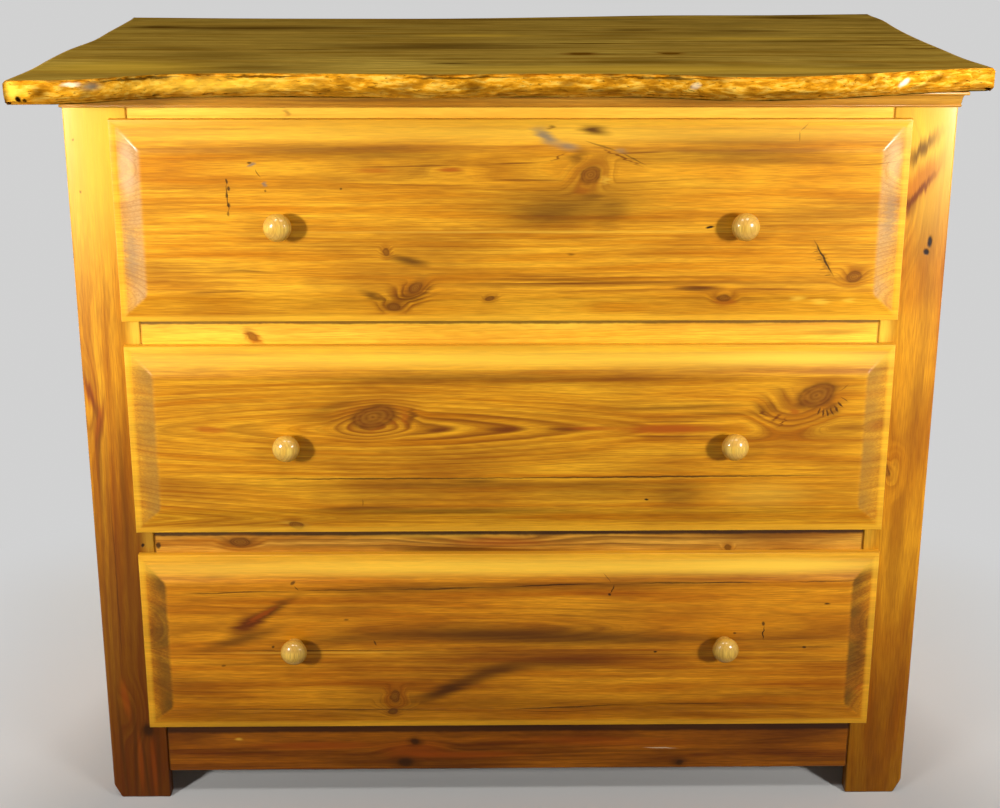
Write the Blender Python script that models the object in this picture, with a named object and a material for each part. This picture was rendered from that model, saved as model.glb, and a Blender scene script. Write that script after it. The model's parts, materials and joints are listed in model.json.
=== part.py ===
"""Rustic pine chest of three drawers with a live-edge plank top.

Metres, +Z up, front towards -Y. The origin is on the floor, under the middle of the chest's box.
The carcass is a face frame on panelled sides. Each drawer is a dovetailed box behind a fielded front.
"""

import math

import bmesh
import bpy
from mathutils import Vector

# Clearances
FIT_GAP = 0.0003
DRAWER_SIDE_CLEARANCE = 0.002
DRAWER_TOP_CLEARANCE = 0.004
DRAWER_REAR_SPACE = 0.015
CUTTER_REACH = 0.002

# Carcass
CARCASS_WIDTH = 1.000
CARCASS_DEPTH = 0.475
BOARD_THICKNESS = 0.020
EDGE_EASE = 0.0015
STILE_WIDTH = 0.071
FOOT_HEIGHT = 0.0375
FOOT_CHAMFER_WIDTH = 0.009
FOOT_CHAMFER_HEIGHT = 0.018
BOTTOM_RAIL_HEIGHT = 0.0775
DRAWER_RAIL_HEIGHT = 0.050
TOP_RAIL_HEIGHT = 0.040
OPENING_HEIGHT = 0.2125
TENON_LENGTH = 0.025
TENON_THICKNESS = 0.008
TENON_SHOULDER = 0.012
SIDE_TOP_RAIL_HEIGHT = 0.070
SIDE_PANEL_THICKNESS = 0.008
PANEL_GROOVE_DEPTH = 0.008

# Back
BACK_BOARD_COUNT = 5
BACK_BOARD_THICKNESS = 0.010
BACK_TONGUE_LENGTH = 0.006
BACK_TONGUE_THICKNESS = 0.0034
BACK_RAIL_HEIGHT = 0.070

# Runners and kickers
RUNNER_LEDGE = 0.018
GUIDE_HEIGHT = 0.024

# Plank top: how far each edge stands out beyond the carcass, at even stations along that edge
SLAB_THICKNESS = 0.026
SLAB_EASE = 0.003
WANE_BULGE = 0.003
WANE_LENGTH = 0.14
FRONT_OVERHANGS = (
    0.104, 0.098, 0.060, 0.051, 0.052, 0.057, 0.062, 0.054, 0.054, 0.058, 0.080, 0.076, 0.055, 0.027, 0.008,
)
RIGHT_OVERHANGS = (0.036, 0.025, 0.021, 0.017, 0.015, 0.016, 0.019, 0.013)
BACK_OVERHANGS = (0.070, 0.055, 0.052, 0.030, 0.012, 0.010, 0.013, 0.023)
LEFT_OVERHANGS = (0.008, 0.009, 0.011, 0.012, 0.023, 0.027, 0.028, 0.035)
SAMPLES_PER_STATION = 3

# Bed moulding under the top
MOULDING_HEIGHT = 0.018
MOULDING_BEAD_RADIUS = 0.0019
MOULDING_BEAD_CENTRE = 0.0012
MOULDING_COVE_FOOT = 0.003
MOULDING_COVE_HEAD = 0.0065
MOULDING_COVE_START = 0.006
MOULDING_FILLET_HEIGHT = 0.0035
MOULDING_PROJECTION = 0.0095
MOULDING_ARC_STEPS = 5

# Drawer boxes
DRAWER_BOARD_THICKNESS = 0.014
DRAWER_BOTTOM_THICKNESS = 0.006
DRAWER_GROOVE_DEPTH = 0.006
DRAWER_GROOVE_UP = 0.010
DOVETAIL_COUNT = 4
DOVETAIL_WIDTH = 0.030
DOVETAIL_SLOPE = 6.0

# Drawer fronts
FRONT_THICKNESS = 0.020
FRONT_SIDE_OVERLAP = 0.019
FRONT_RAIL_OVERLAP = 0.0102
LIP_THICKNESS = 0.0095
LIP_WIDTH = 0.008
LIP_EASE = 0.001
FIELD_SLOPE = 27.5
FIELD_ROUNDING = 0.012
FIELD_ARC_STEPS = 4

# Turned knobs
KNOB_SPACING = 0.524
KNOB_HEAD_RADIUS = 0.016
KNOB_PROJECTION = 0.028
KNOB_BASE_RADIUS = 0.0105
KNOB_BASE_THICKNESS = 0.0025
KNOB_NECK_RADIUS = 0.0082
KNOB_NECK_REACH = 0.009
KNOB_WIDEST_REACH = 0.0165
KNOB_ARC_STEPS = 5
KNOB_SPIN_STEPS = 20

# Finishes: sRGB-linear colour and roughness
STAINED_PINE = ((0.46, 0.22, 0.035), 0.38)
PLANK_PINE = ((0.24, 0.13, 0.035), 0.36)
KNOB_PINE = ((0.62, 0.36, 0.075), 0.32)
BARE_PINE = ((0.62, 0.42, 0.20), 0.62)

DRAWER_NAMES = ("bottom_drawer", "middle_drawer", "top_drawer")
RAIL_NAMES = ("bottom_rail", "lower_drawer_rail", "upper_drawer_rail", "top_rail")
SIDES = (("left", -1), ("right", 1))

# Places worked out from the sizes above
HALF_WIDTH = CARCASS_WIDTH / 2
OPENING_HALF = HALF_WIDTH - STILE_WIDTH
SIDE_INNER = HALF_WIDTH - BOARD_THICKNESS
DRAWER_PITCH = OPENING_HEIGHT + DRAWER_RAIL_HEIGHT
OPENING_BOTTOMS = tuple(
    FOOT_HEIGHT + BOTTOM_RAIL_HEIGHT + index * DRAWER_PITCH for index in range(len(DRAWER_NAMES))
)
TOP_RAIL_BOTTOM = OPENING_BOTTOMS[-1] + OPENING_HEIGHT
CARCASS_TOP = TOP_RAIL_BOTTOM + TOP_RAIL_HEIGHT
SLAB_UNDERSIDE = CARCASS_TOP + FIT_GAP
SIDE_FRONT = BOARD_THICKNESS + FIT_GAP
SIDE_FRONT_STILE_BACK = STILE_WIDTH
SIDE_REAR_STILE_FRONT = CARCASS_DEPTH - STILE_WIDTH
BACK_BOARD_FRONT = CARCASS_DEPTH - BACK_BOARD_THICKNESS
BACK_RAIL_BACK = BACK_BOARD_FRONT - FIT_GAP
BACK_RAIL_FRONT = BACK_RAIL_BACK - BOARD_THICKNESS
RUNNER_BACK = BACK_RAIL_FRONT - FIT_GAP
BOX_HALF = OPENING_HALF - DRAWER_SIDE_CLEARANCE
BOX_INNER = BOX_HALF - DRAWER_BOARD_THICKNESS
BOX_LENGTH = RUNNER_BACK - DRAWER_REAR_SPACE
BOX_HEIGHT = OPENING_HEIGHT - DRAWER_TOP_CLEARANCE
RUNNER_INNER = BOX_HALF - RUNNER_LEDGE
BOTTOM_PANEL_TOP = DRAWER_GROOVE_UP + DRAWER_BOTTOM_THICKNESS


def clear_scene():
    for obj in list(bpy.data.objects):
        bpy.data.objects.remove(obj, do_unlink=True)


def pine_finish(name, colour, roughness):
    material = bpy.data.materials.new(name + "_finish")
    material.use_nodes = True
    shader = material.node_tree.nodes["Principled BSDF"]
    shader.inputs["Base Color"].default_value = (*colour, 1.0)
    shader.inputs["Roughness"].default_value = roughness
    shader.inputs["Metallic"].default_value = 0.0
    material.diffuse_color = (*colour, 1.0)
    return material


def empty(name, parent=None, location=(0, 0, 0)):
    holder = bpy.data.objects.new(name, None)
    bpy.context.scene.collection.objects.link(holder)
    holder.parent = parent
    holder.location = location
    return holder


def place(name, bm, parent, location, finish=None, smooth_angle=None):
    """Makes the finished mesh an object under its parent. With no finish it is a hidden cutter."""
    bmesh.ops.recalc_face_normals(bm, faces=bm.faces[:])
    mesh = bpy.data.meshes.new(name)
    bm.to_mesh(mesh)
    bm.free()
    if smooth_angle:
        mesh.shade_smooth()
        mesh.set_sharp_from_angle(angle=smooth_angle)
    obj = bpy.data.objects.new(name, mesh)
    bpy.context.scene.collection.objects.link(obj)
    obj.parent = parent
    obj.location = location
    if finish:
        mesh.materials.append(pine_finish(name, *finish))
    else:
        obj.hide_render = True
        obj.display_type = "WIRE"
    return obj


def block(name, xs, ys, zs, parent, finish=None, ease=0.0):
    """A squared board between two values on each axis, with its edges eased."""
    spans = [sorted(pair) for pair in (xs, ys, zs)]
    centre = Vector([(low + high) / 2 for low, high in spans])
    bm = bmesh.new()
    bmesh.ops.create_cube(bm, size=1.0)
    bmesh.ops.scale(bm, vec=[high - low for low, high in spans], verts=bm.verts)
    if ease:
        bmesh.ops.bevel(bm, geom=bm.edges[:], offset=ease, segments=1, affect="EDGES")
    return place(name, bm, parent, centre, finish)


def board(name, xs, ys, zs, parent, finish=STAINED_PINE):
    return block(name, xs, ys, zs, parent, finish, EDGE_EASE)


def add_prism(bm, outline, axis, start, end):
    """Extrudes a closed outline along axis. The outline holds the other two coordinates, in X, Y, Z order."""
    def point(pair):
        coordinates = list(pair)
        coordinates.insert(axis, start)
        return coordinates

    face = bm.faces.new([bm.verts.new(point(pair)) for pair in outline])
    pulled = bmesh.ops.extrude_face_region(bm, geom=[face])["geom"]
    travel = Vector((0, 0, 0))
    travel[axis] = end - start
    bmesh.ops.translate(bm, vec=travel, verts=[v for v in pulled if isinstance(v, bmesh.types.BMVert)])


def prism(name, outline, axis, start, end, parent, finish, ease=0.0):
    bm = bmesh.new()
    add_prism(bm, outline, axis, start, end)
    if ease:
        bmesh.ops.recalc_face_normals(bm, faces=bm.faces[:])
        bmesh.ops.bevel(bm, geom=bm.edges[:], offset=ease, segments=1, affect="EDGES")
    return place(name, bm, parent, (0, 0, 0), finish)


def combine(obj, other, operation):
    modifier = obj.modifiers.new(other.name, "BOOLEAN")
    modifier.operation = operation
    modifier.solver = "EXACT"
    modifier.object = other


def grown(pair, by):
    low, high = sorted(pair)
    return low - by, high + by


def tenoned_rail(name, spans, along, across, stiles, parent):
    """A rail with a tenon on each end, and the mortises that take them in the stiles."""
    rail = board(name, *spans, parent)
    tenon = list(spans)
    tenon[along] = grown(spans[along], TENON_LENGTH)
    tenon[across] = grown((sum(spans[across]) / 2,) * 2, TENON_THICKNESS / 2)
    tenon[2] = grown(spans[2], -TENON_SHOULDER)
    combine(rail, block(name + "_tenon", *tenon, parent), "UNION")
    mortise = block(name + "_mortise", *(grown(pair, FIT_GAP) for pair in tenon), parent)
    for stile in stiles:
        combine(stile, mortise, "DIFFERENCE")


def smooth_value(values, at):
    """A smooth curve through evenly spaced values, read at 0 to 1 along it."""
    place_on = at * (len(values) - 1)
    index = min(int(place_on), len(values) - 2)
    t = place_on - index
    before = values[max(index - 1, 0)]
    a, b = values[index], values[index + 1]
    after = values[min(index + 2, len(values) - 1)]
    return 0.5 * (
        2 * a + (b - before) * t + (2 * before - 5 * a + 4 * b - after) * t**2
        + (3 * a - before - 3 * b + after) * t**3
    )


def plank_outline():
    """The plank's plan, anticlockwise from its front left corner, with the swell of its bark edges."""
    front_left = Vector((-HALF_WIDTH - LEFT_OVERHANGS[-1], -FRONT_OVERHANGS[0]))
    front_right = Vector((HALF_WIDTH + RIGHT_OVERHANGS[0], -FRONT_OVERHANGS[-1]))
    back_right = Vector((HALF_WIDTH + RIGHT_OVERHANGS[-1], CARCASS_DEPTH + BACK_OVERHANGS[0]))
    back_left = Vector((-HALF_WIDTH - LEFT_OVERHANGS[0], CARCASS_DEPTH + BACK_OVERHANGS[-1]))
    edges = (
        (front_left, front_right, FRONT_OVERHANGS, 1, 0.0, -1, WANE_BULGE),
        (front_right, back_right, RIGHT_OVERHANGS, 0, HALF_WIDTH, 1, 0.0),
        (back_right, back_left, BACK_OVERHANGS, 1, CARCASS_DEPTH, 1, WANE_BULGE),
        (back_left, front_left, LEFT_OVERHANGS, 0, -HALF_WIDTH, -1, 0.0),
    )
    points, swells = [], []
    for start, end, overhangs, axis, carcass_face, outward, bulge in edges:
        steps = SAMPLES_PER_STATION * (len(overhangs) - 1)
        for step in range(steps):
            at = step / steps
            point = start.lerp(end, at)
            point[axis] = carcass_face + outward * smooth_value(overhangs, at)
            points.append(point)
            turns = (end - start).length * at / WANE_LENGTH
            swells.append(bulge * math.sin(math.pi * at) * math.sin(2 * math.pi * turns) ** 2)
    return points, swells


def plank_rings():
    """Five level rings up the plank's edge: eased arrises at top and bottom and a swollen middle."""
    points, swells = plank_outline()
    count = len(points)
    outward = []
    for index in range(count):
        along = points[(index + 1) % count] - points[index - 1]
        outward.append(Vector((along.y, -along.x)).normalized())
    levels = (
        (0.0, -SLAB_EASE, 0),
        (SLAB_EASE, 0.0, 0),
        (SLAB_THICKNESS / 2, 0.0, 1),
        (SLAB_THICKNESS - SLAB_EASE, 0.0, 0),
        (SLAB_THICKNESS, -SLAB_EASE, 0),
    )
    return [
        [
            (*(point + out * (offset + swell * swollen)), height)
            for point, out, swell in zip(points, outward, swells)
        ]
        for height, offset, swollen in levels
    ]


def bridged(rings):
    """A closed skin through rings of equal length, capped at the first and the last."""
    bm = bmesh.new()
    loops = [[bm.verts.new(point) for point in ring] for ring in rings]
    for lower, upper in zip(loops, loops[1:]):
        for index in range(len(lower)):
            following = (index + 1) % len(lower)
            bm.faces.new((lower[index], lower[following], upper[following], upper[index]))
    bm.faces.new(loops[0][::-1])
    bm.faces.new(loops[-1])
    return bm


def top_slab(rings, parent):
    middle = (min(p[0] for ring in rings for p in ring) + max(p[0] for ring in rings for p in ring)) / 2
    place("top_slab", bridged(rings), parent, (-middle, 0, SLAB_UNDERSIDE), PLANK_PINE, math.radians(40))


def arc(centre, radii, start, end, steps):
    """Points on an ellipse's arc, from one angle in degrees to another."""
    angles = [math.radians(start + (end - start) * step / steps) for step in range(steps + 1)]
    return [(centre[0] + radii[0] * math.cos(a), centre[1] + radii[1] * math.sin(a)) for a in angles]


def moulding_profile():
    """Bead, cove and top fillet, as distance out from the carcass and height."""
    fillet_bottom = MOULDING_HEIGHT - MOULDING_FILLET_HEIGHT
    bead = arc(
        (MOULDING_BEAD_CENTRE, MOULDING_BEAD_RADIUS), (MOULDING_BEAD_RADIUS,) * 2, -90, 60, MOULDING_ARC_STEPS
    )
    cove = arc(
        (MOULDING_COVE_HEAD, MOULDING_COVE_START),
        (MOULDING_COVE_HEAD - MOULDING_COVE_FOOT, fillet_bottom - MOULDING_COVE_START),
        180,
        90,
        MOULDING_ARC_STEPS,
    )
    outer = [(MOULDING_PROJECTION, fillet_bottom), (MOULDING_PROJECTION, MOULDING_HEIGHT)]
    return [(FIT_GAP, 0.0), *bead, *cove, *outer, (FIT_GAP, MOULDING_HEIGHT)]


def moulding(name, length, mitred_start, mitred_end, turn, corner, parent):
    """A length of bed moulding along X with its face to -Y, turned about Z into its place."""
    def ring(x, mitre):
        return [(x + mitre * (out - FIT_GAP), -out, up) for out, up in moulding_profile()]

    rings = [ring(0.0, -1 if mitred_start else 0), ring(length, 1 if mitred_end else 0)]
    level = CARCASS_TOP - MOULDING_HEIGHT
    obj = place(name, bridged(rings), parent, (*corner, level), STAINED_PINE, math.radians(30))
    obj.rotation_euler.z = turn


def bed_mouldings(parent):
    moulding("bed_moulding_front", CARCASS_WIDTH, True, True, 0.0, (-HALF_WIDTH, 0.0), parent)
    right_corner = (HALF_WIDTH, FIT_GAP)
    left_corner = (-HALF_WIDTH, CARCASS_DEPTH)
    run = CARCASS_DEPTH - FIT_GAP
    moulding("bed_moulding_right", run, True, False, math.radians(90), right_corner, parent)
    moulding("bed_moulding_left", run, False, True, math.radians(-90), left_corner, parent)


def front_stile(name, side, parent):
    """A face frame stile that runs to the floor as a foot, with its outer bottom corner taken off."""
    outer = side * HALF_WIDTH
    inner = side * OPENING_HALF
    outline = (
        (inner, 0.0),
        (outer - side * FOOT_CHAMFER_WIDTH, 0.0),
        (outer, FOOT_CHAMFER_HEIGHT),
        (outer, CARCASS_TOP),
        (inner, CARCASS_TOP),
    )
    return prism(name, outline, 1, 0.0, BOARD_THICKNESS, parent, STAINED_PINE, EDGE_EASE)


def face_frame(parent):
    stiles = [front_stile(f"{label}_front_stile", side, parent) for label, side in SIDES]
    bottoms = (FOOT_HEIGHT, *(bottom + OPENING_HEIGHT for bottom in OPENING_BOTTOMS))
    tops = (*OPENING_BOTTOMS, CARCASS_TOP)
    reach = OPENING_HALF - FIT_GAP
    for name, bottom, top in zip(RAIL_NAMES, bottoms, tops):
        spans = ((-reach, reach), (0.0, BOARD_THICKNESS), (bottom, top))
        tenoned_rail(name, spans, 0, 1, stiles, parent)


def side_frame(label, side, parent):
    """Stiles and rails round a flat panel. The face frame stile covers its front edge."""
    xs = (side * HALF_WIDTH, side * SIDE_INNER)
    prefix = f"{label}_side_"
    whole = (0.0, CARCASS_TOP)
    front = board(prefix + "front_stile", xs, (SIDE_FRONT, SIDE_FRONT_STILE_BACK), whole, parent)
    rear = board(prefix + "rear_stile", xs, (SIDE_REAR_STILE_FRONT, CARCASS_DEPTH), whole, parent)
    bottom_rail_top = FOOT_HEIGHT + BOTTOM_RAIL_HEIGHT
    top_rail_bottom = CARCASS_TOP - SIDE_TOP_RAIL_HEIGHT
    rail_ys = grown((SIDE_FRONT_STILE_BACK, SIDE_REAR_STILE_FRONT), -FIT_GAP)
    rail_zs = {"bottom_rail": (FOOT_HEIGHT, bottom_rail_top), "top_rail": (top_rail_bottom, CARCASS_TOP)}
    for name, zs in rail_zs.items():
        tenoned_rail(prefix + name, (xs, rail_ys, zs), 1, 0, (front, rear), parent)
    middle = (sum(xs) / 2,) * 2
    panel = (
        grown(middle, SIDE_PANEL_THICKNESS / 2),
        grown((SIDE_FRONT_STILE_BACK, SIDE_REAR_STILE_FRONT), PANEL_GROOVE_DEPTH - FIT_GAP),
        grown((bottom_rail_top, top_rail_bottom), PANEL_GROOVE_DEPTH - FIT_GAP),
    )
    block(prefix + "panel", *panel, parent, STAINED_PINE)
    groove = block(prefix + "groove", *(grown(pair, FIT_GAP) for pair in panel), parent)
    rails = [bpy.data.objects[prefix + name] for name in rail_zs]
    for piece in (front, rear, *rails):
        combine(piece, groove, "DIFFERENCE")


def back_board_outline(start, end, grooved, tongued):
    """A board's plan, with a groove in its left edge and a tongue on its right edge where it has them."""
    front, back = BACK_BOARD_FRONT, CARCASS_DEPTH
    tongue = grown((BACK_BOARD_FRONT + BACK_BOARD_THICKNESS / 2,) * 2, BACK_TONGUE_THICKNESS / 2)
    groove = grown(tongue, FIT_GAP)
    outline = [(start, front), (end, front)]
    if tongued:
        tip = end + BACK_TONGUE_LENGTH
        outline += [(end, tongue[0]), (tip, tongue[0]), (tip, tongue[1]), (end, tongue[1])]
    outline += [(end, back), (start, back)]
    if grooved:
        root = start + BACK_TONGUE_LENGTH
        outline += [(start, groove[1]), (root, groove[1]), (root, groove[0]), (start, groove[0])]
    return outline


def carcass_back(parent):
    reach = SIDE_INNER - FIT_GAP
    ys = (BACK_RAIL_FRONT, BACK_RAIL_BACK)
    top_zs = (CARCASS_TOP - BACK_RAIL_HEIGHT, CARCASS_TOP)
    bottom_zs = (FOOT_HEIGHT, FOOT_HEIGHT + BOTTOM_RAIL_HEIGHT)
    board("back_top_rail", (-reach, reach), ys, top_zs, parent, BARE_PINE)
    board("back_bottom_rail", (-reach, reach), ys, bottom_zs, parent, BARE_PINE)
    pitch = 2 * reach / BACK_BOARD_COUNT
    for index in range(BACK_BOARD_COUNT):
        start = -reach + index * pitch
        is_last = index == BACK_BOARD_COUNT - 1
        end = start + pitch - (0.0 if is_last else FIT_GAP)
        outline = back_board_outline(start, end, index > 0, not is_last)
        prism(f"back_board_{index + 1}", outline, 2, FOOT_HEIGHT, CARCASS_TOP, parent, BARE_PINE)


def runners_and_kickers(parent):
    """Each runner is as tall as its rail, so its underside stops the drawer below from tipping."""
    wall = SIDE_INNER - FIT_GAP
    for label, side in SIDES:
        for name, top in zip(DRAWER_NAMES, OPENING_BOTTOMS):
            bottom = top - DRAWER_RAIL_HEIGHT
            guide_top = top + GUIDE_HEIGHT
            outline = (
                (side * wall, bottom),
                (side * RUNNER_INNER, bottom),
                (side * RUNNER_INNER, top),
                (side * OPENING_HALF, top),
                (side * OPENING_HALF, guide_top),
                (side * wall, guide_top),
            )
            prism(f"{name}_{label}_runner", outline, 1, SIDE_FRONT, RUNNER_BACK, parent, BARE_PINE)
        board(
            f"{label}_kicker",
            (side * wall, side * RUNNER_INNER),
            (SIDE_FRONT, RUNNER_BACK),
            (TOP_RAIL_BOTTOM, CARCASS_TOP),
            parent,
            BARE_PINE,
        )


def tail_half_width(depth):
    """Half a dovetail's width at a depth from the outer face of the board it is let into."""
    return DOVETAIL_WIDTH / 2 + (DRAWER_BOARD_THICKNESS - depth) / DOVETAIL_SLOPE


def tail_centres():
    pitch = BOX_HEIGHT / DOVETAIL_COUNT
    return [FIT_GAP + (index + 0.5) * pitch for index in range(DOVETAIL_COUNT)]


def tail_outline(centre, tip, root, at_back, spare=0.0):
    """One dovetail seen from the side, from its tip to its root, as Y and Z."""
    def point(depth, way):
        y = BOX_LENGTH - depth if at_back else depth
        return y, centre + way * (tail_half_width(depth) + spare)

    return [point(root, -1), point(tip, -1), point(tip, 1), point(root, 1)]


def drawer_side(name, side, parent):
    root = DRAWER_BOARD_THICKNESS + FIT_GAP
    low, high = FIT_GAP, FIT_GAP + BOX_HEIGHT
    front = [point for z in tail_centres() for point in tail_outline(z, 0.0, root, False)]
    back = [point for z in tail_centres() for point in tail_outline(z, 0.0, root, True)]
    outline = [(root, low), *front, (root, high), (BOX_LENGTH - root, high), *back[::-1], (BOX_LENGTH - root, low)]
    return prism(name, outline, 0, side * BOX_HALF, side * BOX_INNER, parent, BARE_PINE)


def dovetail_cutter(name, at_back, parent):
    """The sockets that take the tails of both sides in a box front or back."""
    bm = bmesh.new()
    for _, side in SIDES:
        for centre in tail_centres():
            outline = tail_outline(
                centre, -CUTTER_REACH, DRAWER_BOARD_THICKNESS + CUTTER_REACH, at_back, FIT_GAP
            )
            add_prism(bm, outline, 0, side * (BOX_HALF + CUTTER_REACH), side * (BOX_INNER - FIT_GAP))
    return place(name, bm, parent, (0, 0, 0))


def drawer_box(name, parent):
    low, high = FIT_GAP, FIT_GAP + BOX_HEIGHT
    xs = (-BOX_HALF, BOX_HALF)
    back_ys = (BOX_LENGTH - DRAWER_BOARD_THICKNESS, BOX_LENGTH)
    back_zs = (low + BOTTOM_PANEL_TOP + FIT_GAP, high)
    box_front = block(f"{name}_box_front", xs, (0.0, DRAWER_BOARD_THICKNESS), (low, high), parent, BARE_PINE)
    box_back = block(f"{name}_back", xs, back_ys, back_zs, parent, BARE_PINE)
    combine(box_front, dovetail_cutter(f"{name}_front_sockets", False, parent), "DIFFERENCE")
    combine(box_back, dovetail_cutter(f"{name}_back_sockets", True, parent), "DIFFERENCE")
    sides = [drawer_side(f"{name}_{label}_side", side, parent) for label, side in SIDES]

    groove_half = BOX_INNER + DRAWER_GROOVE_DEPTH
    groove_front = DRAWER_BOARD_THICKNESS - DRAWER_GROOVE_DEPTH
    panel_zs = (low + DRAWER_GROOVE_UP, low + BOTTOM_PANEL_TOP)
    panel_xs = grown((-groove_half, groove_half), -FIT_GAP)
    block(f"{name}_bottom", panel_xs, (groove_front + FIT_GAP, BOX_LENGTH), panel_zs, parent, BARE_PINE)
    groove = block(
        f"{name}_groove",
        (-groove_half, groove_half),
        (groove_front, BOX_LENGTH + CUTTER_REACH),
        grown(panel_zs, FIT_GAP),
        parent,
    )
    for piece in (box_front, *sides):
        combine(piece, groove, "DIFFERENCE")


def front_profile():
    """Lip and a slope that rounds over into the flat field, as distance in from the edge and thickness."""
    slope = math.radians(FIELD_SLOPE)
    rounding_rise = FIELD_ROUNDING * (1 - math.cos(slope))
    slope_run = (FRONT_THICKNESS - LIP_THICKNESS - rounding_rise) / math.tan(slope)
    field_edge = LIP_WIDTH + slope_run + FIELD_ROUNDING * math.sin(slope)
    rounding = arc(
        (field_edge, FRONT_THICKNESS - FIELD_ROUNDING),
        (FIELD_ROUNDING, FIELD_ROUNDING),
        90 + FIELD_SLOPE,
        90,
        FIELD_ARC_STEPS,
    )
    lip = [(0.0, 0.0), (0.0, LIP_THICKNESS - LIP_EASE), (LIP_EASE, LIP_THICKNESS), (LIP_WIDTH, LIP_THICKNESS)]
    return lip + rounding


def drawer_front(name, parent):
    """The fielded front that laps over the frame: mitred rings rise from the lip to the field."""
    half_width = OPENING_HALF + FRONT_SIDE_OVERLAP
    half_height = OPENING_HEIGHT / 2 + FRONT_RAIL_OVERLAP
    rings = []
    for inset, thickness in front_profile():
        x, z = half_width - inset, half_height - inset
        rings.append([(-x, -thickness, -z), (x, -thickness, -z), (x, -thickness, z), (-x, -thickness, z)])
    centre = (0.0, -FIT_GAP, OPENING_HEIGHT / 2)
    place(f"{name}_front", bridged(rings), parent, centre, STAINED_PINE, math.radians(25))


def knob_profile():
    """A turned knob from its seat to its crown, as radius and distance out."""
    neck = arc(
        (KNOB_BASE_RADIUS, KNOB_NECK_REACH),
        (KNOB_BASE_RADIUS - KNOB_NECK_RADIUS, KNOB_NECK_REACH - KNOB_BASE_THICKNESS),
        -90,
        -180,
        KNOB_ARC_STEPS - 2,
    )
    under = arc(
        (KNOB_NECK_RADIUS, KNOB_WIDEST_REACH),
        (KNOB_HEAD_RADIUS - KNOB_NECK_RADIUS, KNOB_WIDEST_REACH - KNOB_NECK_REACH),
        -90,
        0,
        KNOB_ARC_STEPS,
    )
    crown = arc(
        (0.0, KNOB_WIDEST_REACH), (KNOB_HEAD_RADIUS, KNOB_PROJECTION - KNOB_WIDEST_REACH), 0, 90, KNOB_ARC_STEPS
    )
    return [(0.0, 0.0), (KNOB_BASE_RADIUS, 0.0), *neck, *under[1:], *crown[1:-1], (0.0, KNOB_PROJECTION)]


def knob(name, x, parent):
    bm = bmesh.new()
    verts = [bm.verts.new((radius, -out, 0.0)) for radius, out in knob_profile()]
    edges = [bm.edges.new(pair) for pair in zip(verts, verts[1:])]
    bmesh.ops.spin(
        bm,
        geom=verts + edges,
        cent=(0, 0, 0),
        axis=(0, 1, 0),
        angle=2 * math.pi,
        steps=KNOB_SPIN_STEPS,
        use_merge=True,
    )
    bmesh.ops.remove_doubles(bm, verts=bm.verts[:], dist=1e-6)
    seat = -FIT_GAP - FRONT_THICKNESS - FIT_GAP
    place(name, bm, parent, (x, seat, OPENING_HEIGHT / 2), KNOB_PINE, math.radians(50))


def drawer(name, opening_bottom, carcass):
    runner_line = empty(name, carcass, (0.0, 0.0, opening_bottom))
    drawer_box(name, runner_line)
    drawer_front(name, runner_line)
    for label, side in SIDES:
        knob(f"{name}_{label}_knob", side * KNOB_SPACING / 2, runner_line)


def main():
    clear_scene()
    rings = plank_rings()
    depths = [point[1] for ring in rings for point in ring]
    face_frame_front = -(min(depths) + max(depths)) / 2
    carcass = empty("chest", location=(0.0, face_frame_front, 0.0))
    top_slab(rings, carcass)
    bed_mouldings(carcass)
    face_frame(carcass)
    for label, side in SIDES:
        side_frame(label, side, carcass)
    carcass_back(carcass)
    runners_and_kickers(carcass)
    for name, opening_bottom in zip(DRAWER_NAMES, OPENING_BOTTOMS):
        drawer(name, opening_bottom, carcass)


main()
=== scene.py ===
"""Looks of the rustic pine chest: its finished pieces, wood finishes, floor, lamps and camera.

Metres, +Z up, front towards -Y. Every finished piece keeps to the place of its CAD node.
"""

import json
import math
from collections import namedtuple

import bpy
from mathutils import Matrix, Vector

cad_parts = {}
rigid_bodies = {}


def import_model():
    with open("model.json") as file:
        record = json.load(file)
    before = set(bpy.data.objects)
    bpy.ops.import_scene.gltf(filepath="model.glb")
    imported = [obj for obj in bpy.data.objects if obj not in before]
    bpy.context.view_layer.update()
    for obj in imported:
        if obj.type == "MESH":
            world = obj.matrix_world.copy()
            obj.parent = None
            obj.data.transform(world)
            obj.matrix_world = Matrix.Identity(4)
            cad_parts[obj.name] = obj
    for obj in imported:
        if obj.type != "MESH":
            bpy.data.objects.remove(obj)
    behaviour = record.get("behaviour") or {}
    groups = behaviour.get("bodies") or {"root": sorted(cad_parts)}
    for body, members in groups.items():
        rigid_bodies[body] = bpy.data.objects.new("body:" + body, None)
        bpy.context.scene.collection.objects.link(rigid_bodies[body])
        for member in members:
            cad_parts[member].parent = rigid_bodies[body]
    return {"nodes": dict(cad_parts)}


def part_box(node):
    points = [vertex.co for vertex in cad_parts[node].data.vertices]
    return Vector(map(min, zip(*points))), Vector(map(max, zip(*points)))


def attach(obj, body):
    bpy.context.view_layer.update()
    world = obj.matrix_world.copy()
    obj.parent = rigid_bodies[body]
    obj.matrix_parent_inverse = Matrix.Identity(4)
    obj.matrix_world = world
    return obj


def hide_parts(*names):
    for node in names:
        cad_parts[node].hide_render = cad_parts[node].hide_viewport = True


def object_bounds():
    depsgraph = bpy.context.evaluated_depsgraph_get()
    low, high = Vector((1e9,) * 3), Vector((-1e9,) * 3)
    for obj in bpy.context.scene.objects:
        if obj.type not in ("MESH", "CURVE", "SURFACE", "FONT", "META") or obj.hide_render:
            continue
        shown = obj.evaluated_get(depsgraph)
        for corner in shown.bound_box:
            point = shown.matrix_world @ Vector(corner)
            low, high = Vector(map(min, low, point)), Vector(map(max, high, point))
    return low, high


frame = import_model()
CAD_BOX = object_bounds()

MM = 0.001
MERGE_DISTANCE = 1e-5
FLAT_ANGLE = math.radians(0.3)

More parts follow.
